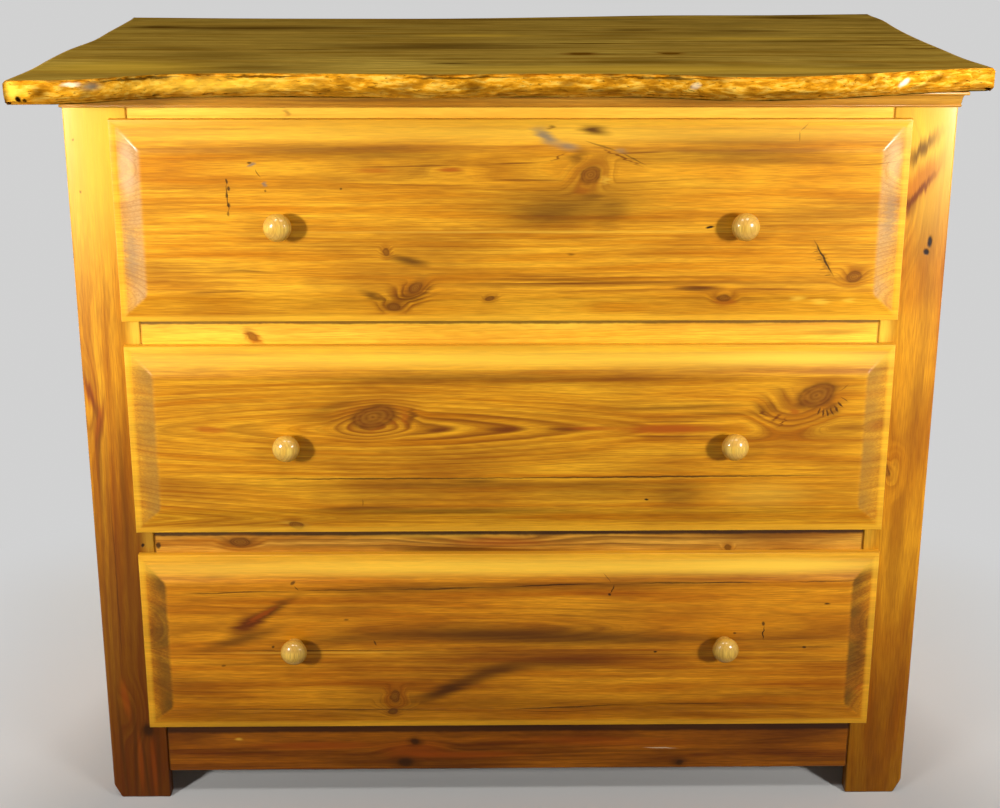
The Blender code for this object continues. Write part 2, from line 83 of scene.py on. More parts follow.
# Camera, from a fit of the chest's corners to the photograph
CAMERA_LENS = 63.0
CAMERA_SENSOR = 36.0
CAMERA_PLACE = (-0.0445, -2.1735, 1.185)
CAMERA_YAW = math.radians(-0.943)
CAMERA_PITCH = math.radians(18.655)
CAMERA_ROLL = math.radians(0.1245)

# Lamps: a small soft box at each side, where the knobs' shadows point back to, turned so that its light
# falls off towards the other end and the floor; a weaker one overhead at each side; one behind
LAMP_SIDE = 1.69
LAMP_FRONT = -2.02
LAMP_HEIGHT = 1.14
LAMP_AIM_SIDE = 0.86
LAMP_AIM_FRONT = -0.20
LAMP_AIM_HEIGHT = 0.81
LAMP_WIDTH = 0.26
LAMP_TALL = 0.32
LAMP_POWER = 11.3
LAMP_SPREAD = math.radians(53.5)
FILL_SIDE = 0.50
FILL_FRONT = -1.25
FILL_HEIGHT = 2.20
FILL_AIM = (0.0, -0.20, 0.35)
FILL_SIZE = 0.40
FILL_POWER = 1.6
FILL_SPREAD = math.radians(90)
BACK_PLACE = (0.0, 2.6, 0.75)
BACK_AIM = (0.0, 0.25, 0.45)
BACK_SIZE = 0.9
BACK_POWER = 45.0
WORLD_LIGHT = 0.03
CEILING_LIGHT = 0.10
BACKDROP_LEVEL = 0.64
FLOOR_HALF = 20.0
FLOOR_FADE = 0.40

# Drawer fronts, as in the CAD, but with a flatter slope that is rounded over further, as by sanding
LIP_THICKNESS = 9.5 * MM
LIP_WIDTH = 8 * MM
LIP_EASE = 1.2 * MM
LIP_EASE_STEPS = 3
FIELD_SLOPE = math.radians(22.5)
FIELD_ROUNDING = 20 * MM
FIELD_ROUNDING_STEPS = 12
MITRE_ROUNDING = 2.5 * MM
MITRE_ROUNDING_STEPS = 4
FLAT_MARGIN = 4 * MM
FIELD_FACING = 0.999

# Knobs, as in the CAD
KNOB_BASE_RADIUS = 10.5 * MM
KNOB_BASE_THICKNESS = 2.5 * MM
KNOB_NECK_RADIUS = 8.2 * MM
KNOB_NECK_REACH = 9 * MM
KNOB_WIDEST_REACH = 16.5 * MM
KNOB_TIP_RADIUS = 0.6 * MM
KNOB_SIDES = 56
KNOB_STEPS = 8

# Boards and the plank's waney edge. A tilt is the share of a face's normal that points up or down,
# and a facing the share that points to the front or the back
ARRIS_ROUNDING = 0.8 * MM
ARRIS_SEGMENTS = 2
ARRIS_ANGLE = math.radians(30)
PLANK_FLAT_TILT = 0.99
PLANK_EDGE_TILT = 0.95
WANE_FACING = 0.5
UNDERCUT_FACING = 0.3
WANE_CUTS = 8
WANE_LUMP_SIZE = 26 * MM
WANE_LUMP_DEPTH = 4 * MM
WANE_PIT_SIZE = 8 * MM
WANE_PIT_DEPTH = 1.2 * MM
WANE_UNDERCUT_SIZE = 70 * MM
WANE_UNDERCUT = 16 * MM
WANE_UNDERCUT_HEIGHT = 15 * MM
WANE_UNDERCUT_STEPS = 6

# Fasteners. A ring of a head has its rise as a share of the head's height, and its size as a share
# of the ring before
SCREW_RADIUS = 4.2 * MM
SCREW_HEIGHT = 2.2 * MM
SCREW_SLOT_WIDTH = 1.1 * MM
SCREW_SLOT_DEPTH = 0.9 * MM
SCREW_IN_FROM_END = 65 * MM
SCREW_IN_FROM_EDGE = 42 * MM
NAIL_RADIUS = 2.6 * MM
NAIL_HEIGHT = 1.0 * MM
NAIL_IN_FROM_END = 20 * MM
HEAD_SIDES = 16
HEAD_RINGS = ((0.40, 1.0), (0.35, 0.85), (0.25, 0.55))

# Faces that meet at less than this many degrees are shaded as one
BOARD_SMOOTH = 40
PLANK_SMOOTH = 55
FRONT_SMOOTH = 24
KNOB_SMOOTH = 45
HEAD_SMOOTH = 30

SIDES = ("left", "right")
BACK_BOARDS = [f"back_board_{number}" for number in range(1, 6)]
ACROSS, BACKWARD, UP = (1, 0, 0), (0, 1, 0), (0, 0, 1)

# The rings round a knot swell and turn bold: how far, in sizes of the knot, and how strongly
KNOT_SWELL_LENGTH = 3.2
KNOT_SWELL_WIDTH = 2.8
KNOT_SWELL_HEIGHT = 1.4
KNOT_BOLD_SIZE = 3.0
KNOT_BOLD = 0.55

# How strongly each layer of the grain, the wane, the painted shade where the wane turns under and a rubbed
# lip colours the wood
CLOUD_WEIGHT = 0.48
HAIR_WEIGHT = 0.34
FIBRE_WEIGHT = 0.38
PORE_WEIGHT = 0.36
BARK_WEIGHT = 0.72
CREVICE_WEIGHT = 0.75
UNDERSIDE_SHADE = 0.60
LIP_WEIGHT = 0.40

# Relief of the grain, with heights of rings and cracks as shares of a fibre's, and roughness between
# the fibres and on them, with and without a finish
GRAIN_DEPTH = 0.5 * MM
RING_HEIGHT = -0.5
CRACK_HEIGHT = -3.0
FINISHED_RELIEF = 0.12
FINISHED_ROUGHNESS = (0.50, 0.40)
BARE_RELIEF = 0.25
BARE_ROUGHNESS = (0.80, 0.66)
BACK_BOARD_SHIFT = (0.37, 0.0, 0.113)

# The figure of a board, in mm along and across it from its reference point, with tilts in degrees.
# heart: across, how far behind the face the tree's heart runs, and how many mm it sinks per metre.
# ring: the width of a year's growth. sway: how far the rings stray. uneven: how much their widths vary.
# cone: along, half length, half width and depth of a dip in the rings, where the face cuts them in flames.
# swells: along, across, half length, half width, tilt, height, where rings rise round a buried branch.
# bold: along, across, half length, half width, tilt, strength, where the rings are dark and plain to see.
# knots: along, across, half length, half width, tilt.
# marks: tint, along, across, half length, half width, tilt, strength.
# joints: across, shift of the grain below it in metres, where two boards meet.
Figure = namedtuple(
    "Figure",
    "heart ring sway uneven cone swells bold knots marks joints",
    defaults=(5.0, (0, 9, 7), 1.0, (), (), (), (), (), ()),
)

# A mark's colour, the share of it that is solid before its edge fades, and if it feathers along the fibres
TINTS = {
    "smear": ("#4E2803", 0.05, True),
    "blush": ("#9C460A", 0.25, True),
    "rust": ("#5E2604", 0.15, True),
    "grey": ("#6E6454", 0.05, True),
    # pale and white are laid on both as the wood's own lighter patches and as painted light: sheen and
    # highlights
    "pale": ("#F6C440", 0.10, True),
    "white": ("#F0E2BE", 0.30, False),
    "crack": ("#1C0C02", 0.40, False),
    # Painted shade: a dark band on a rail just under a drawer's lip, where the lip's shadow falls
    "lip_shade": ("#241004", 0.55, False),
}

TOP_FRONT_FIGURE = Figure(
    heart=(62, 26, 0),
    ring=4.6,
    sway=(0, 9, 8),
    uneven=1.2,
    swells=(
        (-50, 62, 160, 18, 0, 4),
        (-122, -84, 46, 24, 20, 8),
    ),
    bold=(
        (-75, 58, 175, 26, 0, 0.45),
        (95, 66, 80, 46, 0, 0.30),
        (100, -68, 270, 17, 0, 0.70),
        (244, -84, 75, 24, 0, 0.55),
        (-122, -86, 50, 26, 20, 0.95),
        (250, 84, 160, 22, -4, 0.55),
    ),
    knots=(
        (88, 56, 13, 9.5, 25),
        (391, -62, 9, 6.5, 20),
        (244, -87, 8, 4.5, 0),
        (-142, -32, 3.6, 4.6, 0),
        (-24, -87, 5, 3, 10),
        (-110, -74, 9, 5, 35),
        (-134, -98, 8, 4.5, 0),
    ),
    marks=(
        # painted light: the upward top slope made paler, as light from above and its sheen show it
        ("pale", 0, 101, 900, 15, 0, 0.45),
        # painted sheen on the left end slope
        ("white", -430, 62, 13, 46, 0, 0.15),
        ("grey", -431, -34, 12, 52, 0, 0.40),
        # painted sheen on the right end slope
        ("white", 430, 70, 12, 36, 0, 0.12),
        ("grey", 429, 10, 12, 48, 0, 0.45),
        ("grey", 38, 98, 24, 10, -30, 0.85),
        ("grey", 62, 88, 20, 7, -12, 0.70),
        ("rust", 5, 69, 42, 1.6, 1, 0.75),
        ("rust", 52, 76, 12, 1.6, 34, 0.75),
        ("rust", 15, 50, 56, 1.5, 0, 0.7),
        ("rust", 121, 76, 36, 1.7, -24, 0.8),
        ("rust", 145, 81, 38, 1.5, 2, 0.6),
        ("rust", -110, 66, 100, 1.5, 1, 0.6),
        ("rust", -110, 45, 100, 1.5, -1, 0.5),
        ("smear", 43, 108, 6, 3.5, 0, 0.8),
        ("smear", 92, 105, 26, 8, -8, 0.95),
        ("smear", 74, 76, 18, 12, 45, 0.55),
        ("crack", 100, 88, 22, 1.4, -17, 0.5),
        ("crack", 136, 74, 19, 1.3, -29, 0.5),
        ("grey", 122, 83, 12, 4, -15, 0.45),
        ("pale", 105, 50, 9, 7, 20, 0.6),
        ("blush", -69, 62, 21, 3.4, 0, 0.75),
        ("blush", -154, 61, 30, 4, 0, 0.5),
        ("pale", 330, -88, 12, 5, 0, 0.5),
        ("pale", 354, -92, 14, 6, 0, 0.5),
        ("pale", 386, -90, 12, 5, 0, 0.4),
        ("smear", 42, 10, 66, 20, 3, 0.52),
        ("smear", 112, 12, 30, 22, 40, 0.38),
        ("smear", 88, 31, 20, 6, 0, 0.5),
        ("blush", 78, 38, 14, 6, 0, 0.45),
        ("smear", 60, 20, 150, 44, 0, 0.6),
        ("smear", -200, 84, 240, 14, 0, 0.55),
        ("smear", 260, 76, 200, 16, 0, 0.4),
        ("smear", -118, -42, 34, 8, -12, 0.85),
        ("smear", -112, -80, 30, 14, 25, 0.8),
        ("smear", -134, -98, 22, 10, 0, 0.75),
        ("smear", -158, -84, 26, 7, -25, 0.75),
        ("rust", 215, -74, 34, 3, 0, 0.85),
        ("rust", 60, -69, 130, 1.6, 0, 0.7),
        ("rust", 300, -76, 66, 1.5, 0, 0.65),
        ("rust", 50, -61, 100, 1.3, -1, 0.5),
        ("smear", 66, -35, 8, 2.6, 0, 0.65),
        ("smear", 80, -66, 130, 2.4, -1, 0.5),
        ("smear", 212, -76, 38, 3.2, 0, 0.7),
        ("blush", 244, -92, 18, 8, 0, 0.55),
        ("crack", 225, -4, 7, 2.2, 8, 1.0),
        ("smear", 355, -42, 30, 5, -59, 0.5),
        ("crack", 355, -40, 30, 1.6, -59, 0.85),
        ("crack", 345, -32, 5, 0.8, 12, 0.5),
        ("crack", 349, -42, 5, 0.8, 12, 0.5),
        ("crack", 355, -53, 5, 0.8, 12, 0.5),
        ("crack", 361, -60, 5, 0.8, 12, 0.5),
        ("crack", 321, 98, 1.0, 7, 0, 0.4),
        ("crack", 327, 108, 8, 1.0, 40, 0.45),
        ("crack", -318, 30, 0.9, 24, 3, 0.75),
        ("crack", -318, 49, 1.8, 4.0, 0, 0.8),
        ("crack", -316, 41, 2.4, 3.4, 0, 0.8),
        ("crack", -319, 33, 1.6, 4.4, 0, 0.8),
        ("crack", -317, 22, 2.6, 3.2, 0, 0.8),
        ("crack", -318, 12, 1.8, 3.4, 0, 0.6),
        ("grey", -289, 68, 5.0, 4, 0, 0.9),
        ("grey", -276, 46, 4.2, 4.5, 0, 0.9),
        ("crack", -283, 58, 7, 0.9, -58, 0.6),
        ("crack", -293, 70, 3.4, 1.6, 0, 0.8),
        ("crack", -276, 38, 1.8, 1.8, 0, 0.6),
        ("crack", -191, 41, 2, 1.5, 0, 0.7),
        ("smear", -300, -54, 50, 2.6, -2, 0.5),
        ("smear", -330, -78, 56, 2.6, 2, 0.5),
        ("crack", 405, 68, 40, 0.8, 4, 0.4),
        ("pale", 0, -9, 430, 2.4, 0, 0.35),
    ),
    joints=((-7, (0.43, 0.0, 0.152)),),
)

MIDDLE_FRONT_FIGURE = Figure(
    heart=(18, 8, 0),
    ring=9.0,
    sway=(0, 1.5, 3),
    uneven=0.0,
    cone=(-162, 326, 64, 36.7),
    swells=((331, 38, 66, 42, 12, 26), (-158, 30, 66, 34, 10, -26)),
    bold=(
        (-40, 18, 180, 30, 0, 0.80),
        (-165, 28, 70, 38, 10, 0.95),
        (335, 44, 76, 44, 15, 0.80),
        (190, 20, 120, 24, 0, 0.50),
        (-320, 16, 90, 18, -3, 0.45),
    ),
    knots=(
        (-160, 33, 27, 14, 12),
        (357, 58, 25, 14, 24),
        (-256, -107, 9, 5, -15),
    ),
    marks=(
        ("smear", -60, -66, 330, 30, 0, 0.12),
        ("rust", -84, 17, 24, 5.0, 0, 0.75),
        ("rust", -8, 17, 32, 5.5, 0, 0.75),
        ("rust", 64, 17, 42, 4.5, 0, 0.75),
        ("blush", 100, 18, 40, 4, 0, 0.7),
        ("blush", 187, 17, 76, 8, 0, 0.8),
        ("rust", 187, 8, 80, 2.0, 0, 0.7),
        ("rust", 190, 26, 80, 1.6, 0, 0.6),
        ("smear", 0, 80, 430, 12, 0, 0.45),
        # painted light: the upward top slope made paler as light from above shows it; the next mark is a
        # painted highlight at its right end
        ("pale", 0, 101, 900, 16, 0, 0.60),
        ("pale", 330, 102, 170, 12, 0, 0.50),
        ("smear", 0, -52, 430, 9, 0, 0.4),
        ("blush", -352, 18, 28, 6, -5, 0.7),
        ("blush", 331, 38, 9, 5, 0, 0.7),
        ("blush", -124, 32, 6, 14, 10, 0.6),
        ("rust", -118, 30, 7, 15, -14, 0.7),
        ("smear", -116, 36, 8, 12, 0, 0.6),
        ("blush", -150, 22, 28, 3, 22, 0.6),
        ("smear", -205, 46, 40, 7, 14, 0.45),
        ("smear", -225, 32, 60, 12, 0, 0.35),
        ("smear", 200, 44, 130, 4, 2, 0.5),
        ("smear", 250, 36, 60, 4, 0, 0.5),
        ("crack", 361, 39, 6, 1.7, -105, 1.0),
        ("crack", 366, 37, 7, 1.7, -92, 1.0),
        ("crack", 371, 37, 7, 1.7, -80, 1.0),
        ("crack", 376, 39, 7, 1.7, -68, 1.0),
        ("crack", 381, 42, 7, 1.7, -56, 1.0),
        ("crack", 386, 47, 6, 1.7, -44, 1.0),
        ("crack", 390, 53, 6, 1.0, -30, 0.7),
        ("crack", 388, 67, 9, 1.0, 45, 0.6),
        ("smear", 374, 44, 22, 13, -60, 0.65),
        ("rust", 310, 31, 14, 2.4, 35, 0.85),
        ("rust", 296, 36, 12, 2.4, -25, 0.85),
        ("rust", 318, 25, 10, 2.2, 60, 0.85),
        ("smear", 300, 42, 26, 10, 10, 0.45),
        ("smear", -70, -86, 230, 7, 0, 0.6),
        ("smear", -190, -82, 70, 5, 2, 0.5),
        ("smear", 120, -62, 130, 18, 0, 0.35),
        ("smear", 200, -66, 50, 34, 0, 0.45),
        ("pale", 300, -66, 84, 24, 0, 0.25),
        ("crack", 162, -72, 3.4, 1.8, 0, 0.95),
        ("crack", -176, -75, 1.0, 6, 0, 0.45),
        ("crack", -150, -44, 200, 1.3, 0, 0.75),
        ("crack", 170, -43, 280, 1.4, 0.3, 0.8),
        ("smear", -40, -48, 36, 3, 0, 0.6),
        ("pale", -256, -104, 22, 5, -8, 0.5),
    ),
    joints=((-43.5, (0.37, 0.0, 0.113)),),
)

BOTTOM_FRONT_FIGURE = Figure(
    heart=(24, 40, 8),
    ring=4.6,
    sway=(0, 9, 8),
    uneven=1.2,
    swells=((-60, 20, 300, 26, 0, -8), (-141, -80, 34, 18, 0, 16)),
    bold=((20, 15, 280, 24, 0, 0.35), (-100, -60, 90, 34, 30, 0.40), (200, -86, 230, 12, 1, 0.35)),
    knots=((-141, -69, 6, 8, 0), (-144, -92, 6, 5, 0)),
    marks=(
        ("smear", -20, 14, 290, 20, -1, 0.85),
        ("smear", 110, 8, 240, 14, -1, 0.6),
        ("rust", 70, -14, 200, 18, 0, 0.6),
        ("smear", 60, -26, 150, 14, 2, 0.6),
        ("smear", -76, -60, 70, 14, 22, 1.0),
        ("smear", -20, -36, 70, 15, 14, 0.85),
        ("smear", -296, 44, 62, 10, 32, 0.95),
        ("rust", -318, 30, 36, 16, 27, 0.95),
        ("blush", -300, 43, 30, 4.5, 32, 0.7),
        ("smear", -326, 10, 80, 12, 17, 0.75),
        ("smear", 0, 78, 430, 10, 1, 0.5),
        # painted light: the upward top slope made paler as light from above shows it; the next mark is a
        # painted highlight at its right end
        ("pale", 0, 101, 900, 16, 0, 0.70),
        ("pale", 320, 102, 180, 13, 0, 0.60),
        # painted shade darkening both end slopes, here and in the next mark
        ("smear", 432, -14, 12, 76, 0, 0.55),
        ("smear", -432, 8, 12, 84, 0, 0.40),
        ("smear", -200, 8, 120, 12, 3, 0.5),
        ("smear", -330, -24, 80, 4, 0, 0.4),
        ("smear", 0, -78, 420, 12, 0, 0.35),
        ("crack", -337, 72, 84, 1.1, 1.7, 0.65),
        ("crack", -208, 74.6, 58, 1.1, 0.3, 0.65),
        ("crack", -87, 76, 78, 1.1, 1.0, 0.75),
        ("crack", 53, 80, 78, 1.2, 2.0, 0.8),
        ("crack", 226, 82, 112, 1.2, 0, 0.8),
        ("crack", 380, 83, 58, 1.0, 1.0, 0.75),
        ("crack", -262, 84, 4, 2.4, 30, 0.7),
        ("crack", -258, 77, 5, 1.0, -50, 0.7),
        ("crack", 124, 74, 8, 1.2, 65, 0.85),
        ("crack", 121, 67, 2.6, 2.4, 0, 0.9),
        ("crack", 118, 88, 8, 0.8, -50, 0.5),
        ("crack", -238, -6, 190, 1.0, 0, 0.6),
        ("crack", -220, -88, 215, 1.1, -0.8, 0.7),
        ("crack", 74, -86, 100, 1.4, 2.6, 0.75),
        ("crack", 226, -81.5, 74, 1.0, 0.4, 0.6),
        ("crack", 70, -93, 74, 0.9, 2.0, 0.5),
        ("crack", 310, 15, 1.2, 12, 0, 0.9),
        ("crack", 309, 27, 2.6, 3.4, 0, 0.8),
        ("crack", 178, -10, 3.2, 1.7, 0, 0.95),
        ("crack", 361, -5, 3.6, 1.7, 0, 0.9),
        ("crack", 386, 53, 5, 1.3, 0, 0.85),
        ("crack", 274, 15, 2.8, 1.7, 0, 0.75),
        ("crack", 372, -5, 48, 0.9, 0, 0.5),
        ("blush", 438, -64, 6, 15, -40, 0.5),
        ("crack", -351, -26, 4, 1.8, 0, 0.6),
        ("crack", -200, 35, 4.5, 1.8, 0, 0.6),
        ("crack", -164, 4, 1.4, 5, 20, 0.7),
        ("crack", -289, -1, 2.6, 2.4, 0, 0.75),
        ("pale", -240, -9, 190, 2.0, 0, 0.35),
    ),
    joints=((-6, (0.29, 0.0, 0.12)),),
)

# Stiles are measured from the floor under the middle of the chest: along is up, across is to the left
LEFT_STILE_FIGURE = Figure(
    heart=(430, 70, 15),
    ring=4.8,
    swells=((530, 492, 90, 14, 0, 9), (120, 470, 60, 26, 0, 10)),
    bold=((300, 470, 300, 60, 0, 0.45), (520, 490, 70, 16, 0, 0.6), (80, 465, 170, 60, 0, 0.65)),
    marks=(
        # painted sheen: the top of the stile made paler, where the lamps gleam on it
        ("pale", 880, 470, 260, 110, 0, 0.62),
        ("rust", -60, 465, 640, 200, 0, 0.86),
        ("smear", 250, 465, 260, 90, 0, 0.35),
        ("pale", 616, 434, 44, 16, 0, 0.7),
        ("pale", 354, 434, 36, 14, 0, 0.25),
        ("blush", 540, 493, 28, 8, 12, 0.75),
        ("blush", 505, 484, 32, 7, -14, 0.65),
        ("blush", 140, 478, 40, 7, 6, 0.5),
        ("smear", 70, 486, 130, 4, 2, 0.7),
        ("smear", 60, 470, 120, 4, -2, 0.7),
        ("smear", 40, 458, 90, 3.4, 3, 0.7),
        ("smear", 50, 441, 110, 4, -1, 0.6),
        ("blush", 46, 464, 60, 5, 0, 0.5),
        ("blush", 40, 448, 70, 4, 1, 0.5),
        ("smear", 96, 452, 20, 16, 0, 0.9),
        ("crack", 96, 452, 11, 9, 0, 0.6),
        ("rust", 538, 492, 44, 5, 14, 0.7),
        ("rust", 500, 482, 48, 4, -10, 0.6),
        ("rust", 452, 490, 70, 3, 0, 0.5),
        ("smear", 420, 462, 150, 5, 0, 0.45),
        ("smear", 470, 487, 120, 5, 0, 0.4),
        ("crack", 347, 443, 3.4, 3.0, 0, 0.95),
        ("crack", 300, 478, 150, 0.9, 0, 0.4),
        ("crack", 838, 490, 2, 2, 0, 0.5),
        ("crack", 780, 486, 2.5, 2, 0, 0.5),
    ),
)
RIGHT_STILE_FIGURE = Figure(
    heart=(-470, 60, -12),
    ring=4.8,
    swells=((770, -452, 120, 30, 0, 14), (441, -461, 50, 18, 0, 8)),
    bold=((780, -455, 80, 36, 0, 0.45),),
    knots=((441, -450, 9, 4, 25),),
    marks=(
        # painted sheen: the top of the stile made paler, where the lamps gleam on it
        ("pale", 870, -470, 200, 100, 0, 0.5),
        ("rust", -60, -465, 420, 180, 0, 0.28),
        ("pale", 616, -434, 44, 16, 0, 0.75),
        ("pale", 354, -434, 36, 14, 0, 0.25),
        ("smear", 826, -462, 44, 12, -42, 0.85),
        ("blush", 790, -464, 50, 20, -38, 0.65),
        ("rust", 776, -462, 46, 6, -38, 0.85),
        ("rust", 758, -450, 26, 14, -30, 0.75),
        ("crack", 720, -480, 10, 4.0, 0, 1.0),
        ("crack", 708, -477, 6, 4.5, 30, 1.0),
        ("crack", 441, -452, 12, 2.4, 28, 0.7),
    ),
)

TOP_RAIL_FIGURE = Figure(
    heart=(-40, 60, 5),
    marks=(("smear", -250, -4, 5, 7, 20, 0.7), ("pale", 0, 0, 600, 60, 0, 0.3)),
)
UPPER_RAIL_FIGURE = Figure(
    heart=(30, 50, 6),
    knots=((-300, -6, 7, 4, -40),),
    marks=(
        ("blush", -300, -6, 16, 6, -38, 0.7),
        ("smear", 380, -2, 60, 5, 0, 0.4),
        # painted shade under the top drawer's lip
        ("lip_shade", 0, 12.5, 2000, 4.5, 0, 0.75),
    ),
)
LOWER_RAIL_FIGURE = Figure(
    heart=(-20, 24, 10),
    ring=4.6,
    swells=((-12, 0, 150, 14, 0, 8),),
    bold=((0, 0, 460, 30, 0, 0.7),),
    knots=((-326, -2, 12, 6, 0), (265, -12, 4, 4, 0)),
    marks=(
        ("smear", -326, -3, 34, 10, 0, 0.9),
        ("smear", -80, -12, 90, 6, 0, 0.6),
        ("blush", -12, -3, 80, 8, 0, 0.45),
        ("crack", 265, -12, 4, 3, 0, 0.8),
        ("smear", 300, 4, 120, 7, 0, 0.5),
        ("pale", -100, 6, 160, 6, 0, 0.3),
        ("crack", -424, -6, 4, 6, 0, 0.85),
        # painted shade under the middle drawer's lip
        ("lip_shade", 0, 11.5, 2000, 6.5, 0, 0.9),
    ),
)
BOTTOM_RAIL_FIGURE = Figure(
    heart=(10, 22, 12),
    ring=4.6,
    swells=((-120, -10, 70, 22, 0, 10),),
    bold=((0, -5, 460, 34, 0, 0.4),),
    marks=(
        ("blush", -120, -10, 60, 18, 0, 0.5),
        ("blush", -240, -4, 110, 8, 0, 0.6),
        ("blush", -60, -18, 120, 7, 0, 0.6),
        ("smear", -131, -28, 30, 14, 0, 0.9),
        ("crack", -131, -28, 13, 8, 0, 0.6),
        ("smear", -118, 1, 15, 11, 0, 0.9),
        ("crack", -118, 1, 7, 6, 0, 0.6),
        ("smear", 215, -30, 18, 10, 0, 0.9),
        ("crack", 215, -31, 7, 5, 0, 0.6),
        ("smear", -330, -12, 60, 5, 0, 0.5),
        ("smear", 60, 8, 160, 6, -1, 0.5),
        ("blush", 120, 0, 160, 10, -2, 0.4),
        # painted shade under the bottom drawer's lip: this smear and the band after it
        ("smear", 0, 32, 900, 12, 0, 0.7),
        ("lip_shade", 0, 22.5, 2000, 10, 0, 0.85),
        ("white", 190, -10, 26, 0.9, -3, 0.6),
        ("pale", -340, 6, 6, 3, 0, 0.5),
        ("smear", -390, 10, 40, 12, 0, 0.5),
    ),
)
PLAIN_FIGURE = Figure(heart=(10, 60, 10), sway=(0, 12, 9))
# The dark bands along the top of the front moulding are painted shadow, cast by the plank above
MOULDING_FIGURE = PLAIN_FIGURE._replace(
    marks=(("smear", 0, 889, 620, 5, 0, 0.6), ("smear", -180, 883, 160, 2.4, 0, 0.5)),
)
PANEL_FIGURE = Figure(
    heart=(20, 40, 30),
    ring=6.0,
    sway=(0, 12, 9),
    swells=((520, -60, 140, 40, 0, 12), (300, 90, 100, 30, 0, 10)),
    bold=((450, 0, 320, 90, 0, 0.4),),
    knots=((520, -60, 12, 8, 0), (300, 90, 9, 6, 0)),
)
PLANK_FIGURE = Figure(
    heart=(-40, 90, 20),
    ring=5.4,
    sway=(0, 12, 10),
    bold=((0, 0, 700, 400, 0, 0.30),),
    knots=((83, -108, 12, 8, 0), (188, -105, 10, 7, 0)),
    # Pale patches near the front edge and broad smears towards the back make the top paler at the front:
    # partly its own streaks, partly painted light
    marks=(
        ("smear", -455, 163, 60, 24, 0, 0.78),
        ("smear", -330, 150, 260, 34, 0, 0.63),
        ("smear", -255, -70, 90, 9, 0, 0.73),
        ("smear", -70, -190, 36, 10, 0, 0.78),
        ("smear", -60, -40, 240, 40, 0, 0.53),
        ("smear", 90, -108, 60, 12, 0, 0.68),
        ("smear", 100, -10, 70, 9, 0, 0.63),
        ("smear", 165, 130, 60, 20, 0, 0.63),
        ("smear", 310, 120, 90, 16, 0, 0.63),
        ("smear", 400, 275, 110, 28, 0, 0.73),
        ("smear", 455, -20, 60, 9, 0, 0.63),
        ("smear", 235, -250, 60, 7, 0, 0.58),
        ("smear", 500, -60, 44, 11, 0, 0.63),
        ("smear", 60, 250, 300, 20, 0, 0.53),
        ("pale", -430, -220, 150, 70, 0, 0.63),
        ("pale", -40, 70, 110, 24, 0, 0.53),
        ("pale", 150, -240, 380, 50, 0, 0.58),
        ("pale", 300, 40, 160, 24, 0, 0.48),
    ),
    joints=((0, (0.31, 0.0, 0.16)),),
)
# Patches of the plank's front edge, along it and up from its middle
WANE_MARKS = (
    ("pale", -330, 1, 170, 12, 0, 0.45),
    ("pale", -527, 1, 12, 16, 0, 0.8),
    ("crack", -522, -7, 4.5, 4.5, 0, 1.0),
    ("crack", -515, -8, 3.5, 3, 0, 0.9),
    ("smear", -498, 0, 16, 11, 0, 0.85),
    ("white", -466, 8, 14, 3.4, 0, 0.8),
    ("grey", -446, 5, 16, 7, 0, 0.9),
    ("crack", -400, 9.5, 60, 1.6, 0, 0.8),
    ("crack", -270, 9.5, 60, 1.5, 0, 0.75),
    ("crack", -60, 9.5, 80, 1.5, 0, 0.7),
    ("crack", 160, 9.5, 80, 1.5, 0, 0.7),
    ("smear", -42, 0, 22, 10, 0, 0.8),
    ("smear", 90, -5, 80, 6, 0, 0.6),
    ("white", 196, 2, 8, 5, 20, 0.5),
    # painted highlight: a lamp's reflection on a smooth spot of the wane
    ("white", 429, 1, 9, 4.5, 35, 1.0),
    ("smear", 300, -6, 100, 6, 0, 0.6),
    ("smear", 470, 3, 20, 7, 0, 0.6),
)


def hex_colour(code):
    """An sRGB hex colour as linear RGBA."""
    shares = [int(code[i:i + 2], 16) / 255 for i in (1, 3, 5)]
    return (*(s / 12.92 if s <= 0.04045 else ((s + 0.055) / 1.055) ** 2.4 for s in shares), 1.0)


def feed(tree, node, inputs):
    """Links a node's inputs to sockets, or sets them to values."""
    for key, value in inputs.items():
        if isinstance(value, bpy.types.NodeSocket):
            tree.links.new(value, node.inputs[key])
        else:
            node.inputs[key].default_value = value


def add(tree, kind, inputs=(), output=0, stops=(), **settings):
    """Adds a node with its settings and inputs, and gives one of its outputs."""
    new = tree.nodes.new("ShaderNode" + kind)
    for key, value in settings.items():
        setattr(new, key, value)
    feed(tree, new, dict(inputs))
    for index, (place, colour) in enumerate(stops):
        ends = new.color_ramp.elements
        stop = ends[index] if index < 2 else ends.new(place)
        stop.position = place
        stop.color = colour
    return new.outputs[output]


def maths(tree, operation, *values):
    return add(tree, "Math", dict(enumerate(values)), operation=operation)


def vector_maths(tree, operation, *values, output=0):
    return add(tree, "VectorMath", dict(enumerate(values)), output, operation=operation)


def part_of(tree, vector, axis):
    return add(tree, "SeparateXYZ", {0: vector}, axis)


def blend(tree, share, under, over):
    """A colour with a share of another laid over it."""
    return add(tree, "Mix", {0: share, 6: under, 7: over}, 2, data_type="RGBA")


def spread(tree, share, low, high):
    """A share from 0 to 1, spread evenly from low to high."""
    return add(tree, "MapRange", {0: share, 3: low, 4: high})


def eased(tree, value, start, end, low=0.0, high=1.0):
    """A span of a value, spread from low at its start to high at its end with soft ends."""
    span = {0: value, 1: start, 2: end, 3: low, 4: high}
    return add(tree, "MapRange", span, interpolation_type="SMOOTHSTEP")


def local_space(tree, space, place, turn, scale=(1, 1, 1)):
    """A space seen from a place in it that is turned and scaled."""
    inputs = {"Vector": space, "Location": place, "Rotation": turn, "Scale": scale}
    return add(tree, "Mapping", inputs, vector_type="TEXTURE")


